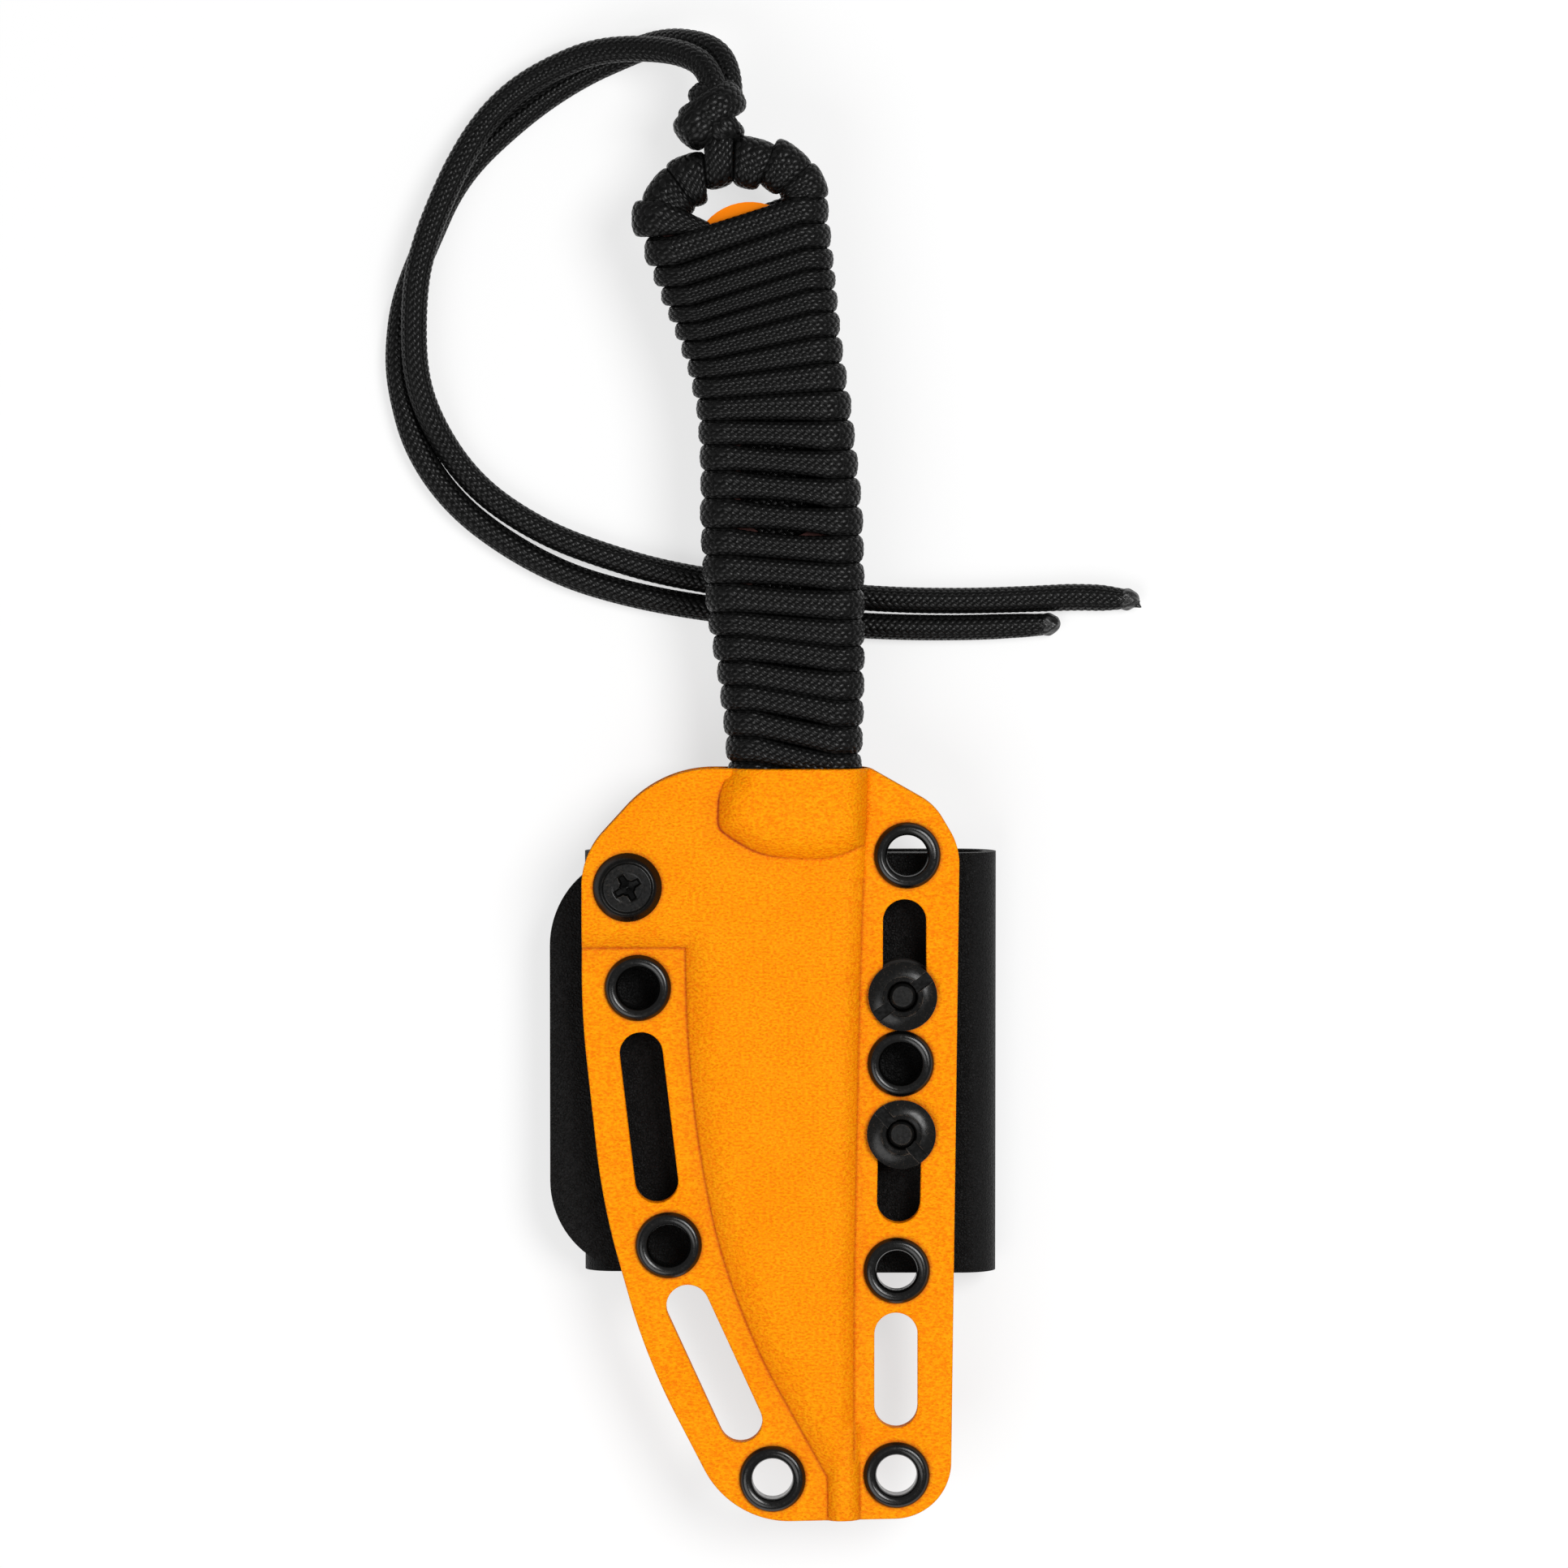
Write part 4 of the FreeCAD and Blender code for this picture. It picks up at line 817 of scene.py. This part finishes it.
# The middles of each slot's round ends
SLOTS = [
    ((17.9, 23), (17.9, 11)), ((17.2, -9.8), (17, -21.2)), ((16.6, -42.1), (16.6, -53.5)),
    ((-23.4, 2.1), (-21, -18)), ((-16.1, -37.7), (-7.8, -55.8)),
]
SLOT_HALF = 3.4
SCREW_HOLE = 3.1
EYELETS = [f"eyelet_right_{place}" for place in "1234"] + [f"eyelet_left_{place}" for place in "123"]
EYELET_BARREL = 3.55
# Faint lines pressed into the front where the mould's blocks met
PRESSED_LINES = [((-16, 28.7), (-16, 19.4)), ((-16, 28.7), (-11.6, 28.7)), ((-19.5, 40), (-19.5, 35))]


def bearing(way):
    """Angle of a direction in the plane."""
    return math.atan2(way[1], way[0])


def rounded(corner_list, step=0.5):
    """Points along a closed outline whose corners are rounded by tangent arcs."""
    line = []
    for index, (x, y, radius) in enumerate(corner_list):
        here = np.array([x, y])
        back, ahead = (unit(np.array(corner_list[place % len(corner_list)][:2]) - here)
                       for place in (index - 1, index + 1))
        half = math.acos(back.dot(ahead)) / 2
        centre = here + unit(back + ahead) * radius / math.sin(half)
        first, last = (bearing(here + way * radius / math.tan(half) - centre) for way in (back, ahead))
        sweep = (last - first + math.pi) % TAU - math.pi
        for angle in np.linspace(first, first + sweep, max(int(abs(sweep) * radius / step), 3)):
            line.append(centre + radius * np.array([math.cos(angle), math.sin(angle)]))
    return resampled(flat_line(line), step, closed=True)[:, :2]


def obround(start, end, radius):
    """Points round a straight slot with full-round ends."""
    bend = np.linspace(-math.pi / 2, math.pi / 2, 24) + bearing(np.subtract(end, start))
    ends = [spun(end, radius, 0.0, bend), spun(start, radius, 0.0, bend + math.pi)]
    return resampled(np.vstack(ends), 0.4, closed=True)[:, :2]


def nearest(points, line, closed=True):
    """Distance from each point to an outline."""
    best = np.full(len(points), np.inf)
    for a, b in zip(line, np.roll(line, -1, axis=0) if closed else line[1:]):
        run = b - a
        share = clamp(((points - a) @ run) / max(run @ run, 1e-12))
        best = np.minimum(best, np.linalg.norm(points - a - share[:, None] * run, axis=1))
    return best


def inside(points, line):
    """Whether each point lies within a closed outline."""
    hit = np.zeros(len(points), bool)
    x, y = points[:, 0], points[:, 1]
    for a, b in zip(line, np.roll(line, -1, axis=0)):
        crosses = (a[1] > y) != (b[1] > y)
        with np.errstate(divide="ignore", invalid="ignore"):
            at = (b[0] - a[0]) * (y - a[1]) / (b[1] - a[1]) + a[0]
        hit ^= crosses & (x < at)
    return hit


def grown(points, line):
    """Distance outside a closed outline, negative within it."""
    return np.where(inside(points, line), -1.0, 1.0) * nearest(points, line)


def clear(points, outline, holes, margin):
    """Whether each point lies on the sheet, a margin from its edges."""
    apart = [grown(points, hole) for hole in holes]
    return (grown(points, outline) < -margin) & (np.min(apart, axis=0) > margin)


def crease_line(points):
    """A crease smoothed between its given points, at even steps."""
    return resampled(smooth_line(flat_line(points)), 0.4)[:, :2]


SPINE, EDGE, STEP, THROAT, *DRAINS = map(crease_line, (SPINE_CREASE, EDGE_CREASE, STEP_CREASE, THROAT_CREASE,
                                                       *DRAIN_CREASES))
# How dark the painted shade in each crease is
CREASES = [(SPINE, 0.42), (EDGE, 0.6), (STEP, 0.6), (THROAT, 0.85), (DRAINS[0], 0.5), (DRAINS[1], 0.4)]
CREASE_WIDTH = 0.2
GROOVE = 0.14
# Painted shade, redder, on the sheet either side of a crease: how dark and how wide
SHADE, SHADE_WIDTH = 0.11, 2.2
# How dark the sheet is round its metal, and how far from it
HALO, HALO_WIDTH = 0.5, 0.28
# Widths of the relief's slopes inside the spine, the edge and the step, and the drain's and the throat's own
SLOPES = [(SPINE, 3.4), (EDGE, 5.5), (STEP, 4.5)]
DRAIN_RAISE, DRAIN_SLOPE, DRAIN_TOP = 1.5, 2.2, -56.0
THROAT_SLOPE = 5.0


def rise(depth, width, fullness=2.0):
    """0 at a crease, rising to 1 over a width inside it."""
    return 1 - (1 - clamp(depth / width)) ** fullness


def front_height(points):
    """Height of the front sheet's face above the middle plane, and the painted shade in and beside its
    creases.
    """
    plateau = np.vstack([SPINE, EDGE, STEP, [(-60.0, 60.0)]])
    within = np.where(inside(points, plateau), 1.0, 0.0)
    slopes = [rise(within * nearest(points, line, closed=False), width) for line, width in SLOPES]
    height = WALL + RAISE * np.minimum.reduce(slopes)
    left, right = DRAINS
    drain = np.vstack([[(left[0, 0], DRAIN_TOP)], left, right[::-1], [(right[0, 0], DRAIN_TOP)]])
    height = np.maximum(height, WALL + DRAIN_RAISE * rise(-grown(points, drain), DRAIN_SLOPE))
    spine_end = int(np.argmin(np.linalg.norm(SPINE - THROAT[-1], axis=1)))
    throat = np.vstack([THROAT, SPINE[spine_end::-1]])
    raised = rise(-grown(points, throat), THROAT_SLOPE, 2.3)
    height = height + (WALL + RAISE + THROAT_RAISE - height) * raised
    dark = np.zeros(len(points))
    # Painted shade: dark along each crease and redder either side of it
    for line, strength in CREASES:
        apart = nearest(points, line, closed=False)
        near = fading(apart, CREASE_WIDTH)
        height = height - GROOVE * near
        dark = np.maximum(dark, strength * near + SHADE * fading(apart, SHADE_WIDTH) * (1 - near))
    # The painted shade of the throat's crease fades towards the spine and the mouth
    fade = np.clip((6.0 - points[:, 0]) / 14, 0.4, 1) * clamp((46.0 - points[:, 1]) / 4.0)
    return height, dark * np.where(points[:, 1] > 30, fade, 1)


def halo(points):
    """How dark the sheet is round each eyelet, post and washer."""
    dark = np.zeros(len(points))
    for node in [*EYELETS, "mount_post_upper", "mount_post_lower", "retention_washer"]:
        middle, _bottom, _top, radius = round_part(node)
        apart = np.linalg.norm(points - middle[:2], axis=1) - radius
        dark = np.maximum(dark, HALO * fading(np.clip(apart, 0, None), HALO_WIDTH))
    return dark


def ribbon(line, outline, holes, others):
    """Points in rows along a crease, clear of the edges and of the creases before it."""
    way = tangents(line)
    across = np.stack([-way[:, 1], way[:, 0]], -1)
    points = np.vstack([line + across * offset for offset in (0, -0.12, 0.12, -0.28, 0.28, -0.5, 0.5)])
    keep = clear(points, outline, holes, 0.3)
    for other in others:
        keep &= nearest(points, other, closed=False) > 0.6
    return points[keep]


def inset(line, distance):
    """An outline moved outwards, or inwards if the distance is negative."""
    way = tangents(line, closed=True)
    turning = np.sum(line[:, 0] * np.roll(line[:, 1], -1) - np.roll(line[:, 0], -1) * line[:, 1])
    return line + np.stack([way[:, 1], -way[:, 0]], -1) * distance * np.sign(turning)


def even_grid(low, high, step):
    """Points in staggered rows between two corners."""
    rows = []
    for index, y in enumerate(np.arange(low[1], high[1], step * math.sqrt(0.75))):
        x = np.arange(low[0] + (index % 2) * step / 2, high[0], step)
        rows.append(np.stack([x, np.full(len(x), y)], -1))
    return np.vstack(rows)


# Twice the area under which a triangle has its corners in one line
SLIVER = 2e-5


def sheet_plan(outline, holes):
    """The pierced sheet seen flat: its points, its triangles and the edges round it."""
    loops = [outline, *holes]
    lines = [line for line, _strength in CREASES]
    step = 0.5
    grid = even_grid(outline.min(axis=0), outline.max(axis=0), step)
    keep = clear(grid, outline, holes, step * 0.9)
    for line in lines:
        keep &= nearest(grid, line, closed=False) > 0.5 + step / 3
    ribbons = [ribbon(line, outline, holes, lines[:index]) for index, line in enumerate(lines)]
    near = [line for margin in (0.22, 0.07) for line in
            (inset(outline, -margin), *(inset(hole, margin) for hole in holes))]
    edges, start = [], 0
    for loop in loops:
        edges += [(start + index, start + (index + 1) % len(loop)) for index in range(len(loop))]
        start += len(loop)
    points = np.vstack([*loops, *near, *ribbons, grid[keep]])
    flat, _edges, triangles, origin, _e, _f = delaunay_2d_cdt(
        [Vector(point) for point in points], edges, [], 0, 1e-6, True)
    flat, triangles = np.array([tuple(point) for point in flat]), np.array(triangles)
    first, second = (flat[triangles[:, corner]] - flat[triangles[:, 0]] for corner in (1, 2))
    centres = flat[triangles].mean(axis=1)
    good = inside(centres, outline) & ~np.any([inside(centres, hole) for hole in holes], axis=0)
    good &= np.abs(first[:, 0] * second[:, 1] - first[:, 1] * second[:, 0]) > SLIVER
    place = {source: index for index, sources in enumerate(origin) for source in sources}
    return flat, triangles[good], [(place[a], place[b]) for a, b in edges]


# Radius of the sheet's rounded rims
RIM_RADIUS = 0.22
PRESSED_DEPTH, PRESSED_WIDTH = 0.1, 0.45


def sheath_sheets(material):
    """Both formed sheets with their thickness, pierced for the eyelets, slots and screw."""
    outline = rounded(OUTLINE)
    bores = {node: EYELET_BARREL + HOLE_CLEAR for node in EYELETS} | {"retention_screw": SCREW_HOLE}
    holes = [spun(middle_of(node), radius, 0.0, even_angles(48))[:, :2] for node, radius in bores.items()]
    holes += [obround(*ends, SLOT_HALF) for ends in SLOTS]
    flat, triangles, edges = sheet_plan(outline, holes)
    rim = np.min([nearest(flat, loop) for loop in (outline, *holes)], axis=0)
    height, crease = front_height(flat)
    # Painted shade in the creases and the darker sheet round the metal go to the crease attribute
    crease = np.maximum(crease, halo(flat))
    height = height - RIM_RADIUS + np.sqrt(RIM_RADIUS ** 2 - np.clip(RIM_RADIUS - rim, 0, None) ** 2)
    apart = np.min([nearest(flat, np.array(line), closed=False) for line in PRESSED_LINES], axis=0)
    pressed = fading(apart, PRESSED_WIDTH)
    under = np.clip(height - WALL, 0, None)
    count = len(flat)
    walls = [wall for a, b in edges for wall in ((a, b, b + count), (a, b + count, a + count))]
    faces = np.vstack([triangles, triangles[:, ::-1] + count, np.array(walls)[:, ::-1]])
    for side, sign, dent in (("front", 1, PRESSED_DEPTH), ("back", -1, 0.0)):
        top = np.column_stack([flat, MID_Z + sign * (height - dent * pressed)])
        bottom = np.column_stack([flat, MID_Z + sign * under])
        sheet = mesh_object(f"sheath_{side}_sheet", np.vstack([top, bottom]), faces[:, ::sign],
                            crease=np.concatenate([crease, crease]))
        sheet.data.set_sharp_from_angle(angle=math.radians(50))
        fit(sheet, material, "sheath", f"sheath_{side}_shell")


# ---- Metal ----


def even_turns(_radius):
    """Angles at even steps round an axis, the same at every radius."""
    return even_angles(200)


def lathe(name, profile, centre):
    """A closed profile of (radius, height) corners, smoothed and turned about an upright axis."""
    line = smooth_line(profile, closed=True, share=8)
    points = np.stack([spun(centre, radius, height, even_angles(120)) for radius, height in line])
    return mesh_object(name, points, quads(*points.shape[:2], close_rows=True)[:, ::-1])


EYELET_BORE = 3.18


def eyelets(material):
    """Rolled eyelets: a round lip in front, the barrel and a flatter roll behind."""
    bore, barrel, front, back = EYELET_BORE, EYELET_BARREL, FACE, MID_Z - WALL
    for node in EYELETS:
        middle, bottom, top, flange = round_part(node)
        profile = [
            (bore, back), (bore, middle[2]), (bore, front), (bore + 0.06, front + 0.45),
            (bore + 0.32, top - 0.26), (bore + 0.75, top - 0.03), (bore + 1.05, top),
            (bore + 1.45, top - 0.12), (flange - 0.2, top - 0.52), (flange, front + 0.35),
            (flange - 0.05, front + 0.04), (flange - 0.5, front), (barrel + 0.15, front),
            (barrel, front - 0.15), (barrel, back + 0.15), (barrel + 0.15, back), (4.6, back),
            (4.9, back - 0.35), (4.5, bottom + 0.12), (3.9, bottom), (3.4, bottom + 0.2),
        ]
        fit(lathe(f"rolled_{node}", profile, middle), material, "sheath", node)


def turned(name, centre, rings, bored=False, turns=even_turns):
    """A round solid, its (radius, height) rings from its top centre or bore outwards and down."""
    points = np.stack([spun(centre, radius, height, turns(radius)) for radius, height in rings])
    rows, columns = points.shape[:2]
    faces = quads(rows, columns, close_rows=bored)
    if not bored:
        faces = np.vstack([faces, caps(rows, columns)])
    item = mesh_object(name, points, faces[:, ::-1])
    item.data.set_sharp_from_angle(angle=math.radians(38))
    return item


def faced(bore, radius, face, turns=even_turns, step=0.07):
    """Rings over a piece's end face, whose height at x and y is face(x, y)."""
    return [(ring, face(ring * np.cos(turns(ring)), ring * np.sin(turns(ring))))
            for ring in np.linspace(bore, radius, int((radius - bore) / step))]


def ramp(beyond, width):
    """0 before an edge, rising evenly to 1 over a width beyond it."""
    return clamp(beyond / width)


SHANK_RADIUS, TOE_RADIUS = 2.05, 1.6
CROSS_REACH, CROSS_HALF, CROSS_TURN = 2.2, 0.72, math.radians(30)


def retention_screw(material):
    """The flat-head screw: a dished ring round a tapered cross recess, and its shank."""
    middle, bottom, top, head = round_part("retention_screw")

    def face(x, y):
        """Height of the screw's head at a point."""
        across, along = np.abs(aligned(x, y, CROSS_TURN))
        arms = [np.maximum(a - CROSS_REACH, b - CROSS_HALF + 0.08 * a)
                for a, b in ((across, along), (along, across))]
        radius = np.hypot(x, y)
        apart = np.minimum(np.minimum(*arms), radius - 1.25)
        pit = 0.5 + 1.3 * ramp(CROSS_REACH - radius, CROSS_REACH)
        return (top - 0.08 * ramp(2.4 - radius, 0.12) - pit * ramp(0.03 - apart, 0.25)
                - 0.12 * ramp(radius - head + 0.15, 0.15))

    rings = faced(0.08, head, face) + [(head, top - 0.2), (SHANK_RADIUS, top - 2.0),
                                       (SHANK_RADIUS, bottom + 0.45), (TOE_RADIUS, bottom), (0.08, bottom)]
    screw = turned("flat_head_screw", middle, rings)
    fit(screw, material, "retention_screw_body", "retention_screw")


def cup_washer(material):
    """The cup washer: a seat for the screw's head, a narrow land and a wide cone."""
    middle, bottom, top, rim = round_part("retention_washer")
    rings = [(3.93, top - 0.04), (3.98, top), (4.14, top), (4.26, top - 0.06), (4.7, top - 0.5),
             (5.2, bottom + 0.5), (rim - 0.04, bottom + 0.34), (rim, bottom + 0.22), (rim, bottom),
             (2.35, bottom)]
    washer = turned("conical_washer", middle, rings, bored=True)
    fit(washer, material, "sheath", "retention_washer")


SLOT_TURNS = {"upper": math.radians(37), "lower": math.radians(-48)}
DRIVER_HALF, DRIVER_DEPTH = 0.92, 1.4
DISH_RADIUS, POST_BORE, POST_BARREL = 3.1, 2.14, 3.0


def post_heads(material):
    """Slotted post heads: a low dome, a dished ring, the driver slot and the bore."""
    for place, slot_turn in SLOT_TURNS.items():
        middle, bottom, top, head = round_part(f"mount_post_{place}")

        def turns(radius):
            """Angles round the head, close together at the slot's walls."""
            slot, wall = math.asin(DRIVER_HALF / radius), 0.015 / radius
            half = np.concatenate([np.linspace(wall - slot, slot - wall, 13),
                                   np.linspace(slot + wall, math.pi - slot - wall, 87)])
            return np.concatenate([half, half + math.pi]) + slot_turn

        def face(x, y):
            """Height of the post's head at a point."""
            radius = np.hypot(x, y)
            across = np.abs(aligned(x, y, slot_turn)[1])
            dome = top - 0.25 - 0.85 * ramp(radius - DISH_RADIUS, head - DISH_RADIUS) ** 1.8
            dish = top - 0.5 - 0.5 * (DISH_RADIUS - radius) / (DISH_RADIUS - POST_BORE)
            dish = dish - 0.7 * ramp(POST_BORE + 0.3 - radius, 0.25)
            height = np.where(radius < DISH_RADIUS, dish, dome)
            return np.where(across < DRIVER_HALF, np.minimum(height, top - DRIVER_DEPTH), height)

        rings = faced(POST_BORE, head, face, turns) + [
            (head, top - 1.55), (head - 0.12, FACE + 0.02), (POST_BARREL + 0.05, FACE + 0.02),
            (POST_BARREL, FACE - 0.1), (POST_BARREL, bottom), (POST_BORE, bottom)]
        post = turned(f"slotted_post_{place}", middle, rings, bored=True, turns=turns)
        fit(post, material, "sheath", f"mount_post_{place}")


def dress_nodes(materials):
    """Gives the CAD nodes that stay their finish, and softens their edges."""
    finishes = {
        "blade_and_tang": ("steel", 0.12), "belt_loop": ("sheet", 0.35), "retention_post": ("hardware", 0.1),
        "retention_grommet": ("rubber", 0.1),
    }
    for place in ("upper", "lower"):
        finishes[f"mount_screw_{place}"] = ("screw", 0.08)
        finishes[f"mount_spacer_{place}"] = ("rubber", 0.2)
    for node, (kind, softness) in finishes.items():
        item = bpy.data.objects[node]
        item.material_slots[0].material = materials[kind]
        bevel = item.modifiers.new("soft_edges", "BEVEL")
        bevel.width = softness * MM
        bevel.segments = 3
        bevel.limit_method = "ANGLE"
        bevel.angle_limit = math.radians(35)
        bevel.harden_normals = True


# ---- Stage ----

FLOOR_HALF = 1500.0
# Each lamp's place, power in watts and width in metres
LAMPS = {"key": ((420, 260, 1000), 7.8, 0.5), "fill": ((-420, -480, 850), 4.6, 0.8)}
LAMP_AIM = (0, 40, 15)
CAMERA_AIM = (-1.0, 44.5, 18.5)
CAMERA_LEAN = math.radians(3.24)
CAMERA_DISTANCE = 1300
CAMERA_LENS = 190.7


def stage():
    """A white floor, a soft lamp from the upper right, a fill lamp and an even white sky."""
    square = np.array([(-1, -1, 0), (1, -1, 0), (1, 1, 0), (-1, 1, 0)])
    floor = mesh_object("floor", square * FLOOR_HALF, np.array([[0, 1, 2, 3]]))
    shade = Shader("white_floor", 0.33, 0.9, specular=0.03)
    rays = [shade.add("LightPath", {}, f"Is {kind} Ray")
            for kind in ("Camera", "Glossy", "Transmission")]
    shade.feed(shade.surface["Emission Color"], 1)
    shade.feed(shade.surface["Emission Strength"], shade.span(rays[0] + rays[1] + rays[2], 0, 1, 0, 0.65))
    floor.data.materials.append(shade.material)
    world = bpy.data.worlds.new("studio")
    world.use_nodes = True
    sky = world.node_tree.nodes["Background"].inputs
    sky["Color"].default_value = (1, 1, 1, 1)
    sky["Strength"].default_value = 0.3
    bpy.context.scene.world = world
    for name, (place, power, width) in LAMPS.items():
        lamp = bpy.data.lights.new(name, "AREA")
        lamp.shape = "DISK"
        lamp.size = width
        lamp.energy = power
        item = linked(name, lamp)
        item.location = Vector(place) * MM
        item.rotation_euler = (Vector(LAMP_AIM) * MM - item.location).to_track_quat("-Z", "Y").to_euler()


def camera():
    """The photograph's view: nearly straight down, from a little towards the butt."""
    target = Vector(CAMERA_AIM) * MM
    place = target + CAMERA_DISTANCE * MM * Vector((0, math.sin(CAMERA_LEAN), math.cos(CAMERA_LEAN)))
    forward = (target - place).normalized()
    right = forward.cross(Vector((0, 1, 0))).normalized()
    up = right.cross(forward)
    lens = bpy.data.cameras.new("camera")
    lens.sensor_width = 36
    lens.lens = CAMERA_LENS
    lens.clip_start, lens.clip_end = 0.01, 20
    item = linked("camera", lens)
    item.matrix_world = Matrix.Translation(place) @ Matrix((right, up, -forward)).transposed().to_4x4()
    bpy.context.scene.camera = item


camera()
stage()
cord = braided_black()
strands(cord, melted_black())
lanyard_loop(cord)
knot(cord)
handle_turns(cord)
ring_turns(cord)
sheath_sheets(moulded_orange())
eyelets(black_metal("eyelet_black", 0.002, 0.19, 0.35, specular=0.4))
retention_screw(black_metal("screw_black", 0.004, 0.28, 0.8, top=corners("retention_screw")[1, 2]))
post_heads(black_metal("post_black", 0.004, 0.24, 1.0, top=corners("mount_post_upper")[1, 2] - 0.7))
cup_washer(black_metal("washer_black", 0.0015, 0.24, 0.25, specular=0.2))
dress_nodes({
    "steel": coated_steel(), "sheet": black_sheet(), "rubber": black_rubber(),
    "screw": black_metal("screw_end_black", 0.006, 0.28, 0.9, top=corners("mount_screw_upper")[1, 2] + 0.25),
    "hardware": black_metal("hardware_black", 0.012, 0.4, 0.6),
})

bpy.context.scene.view_settings.view_transform = "Standard"
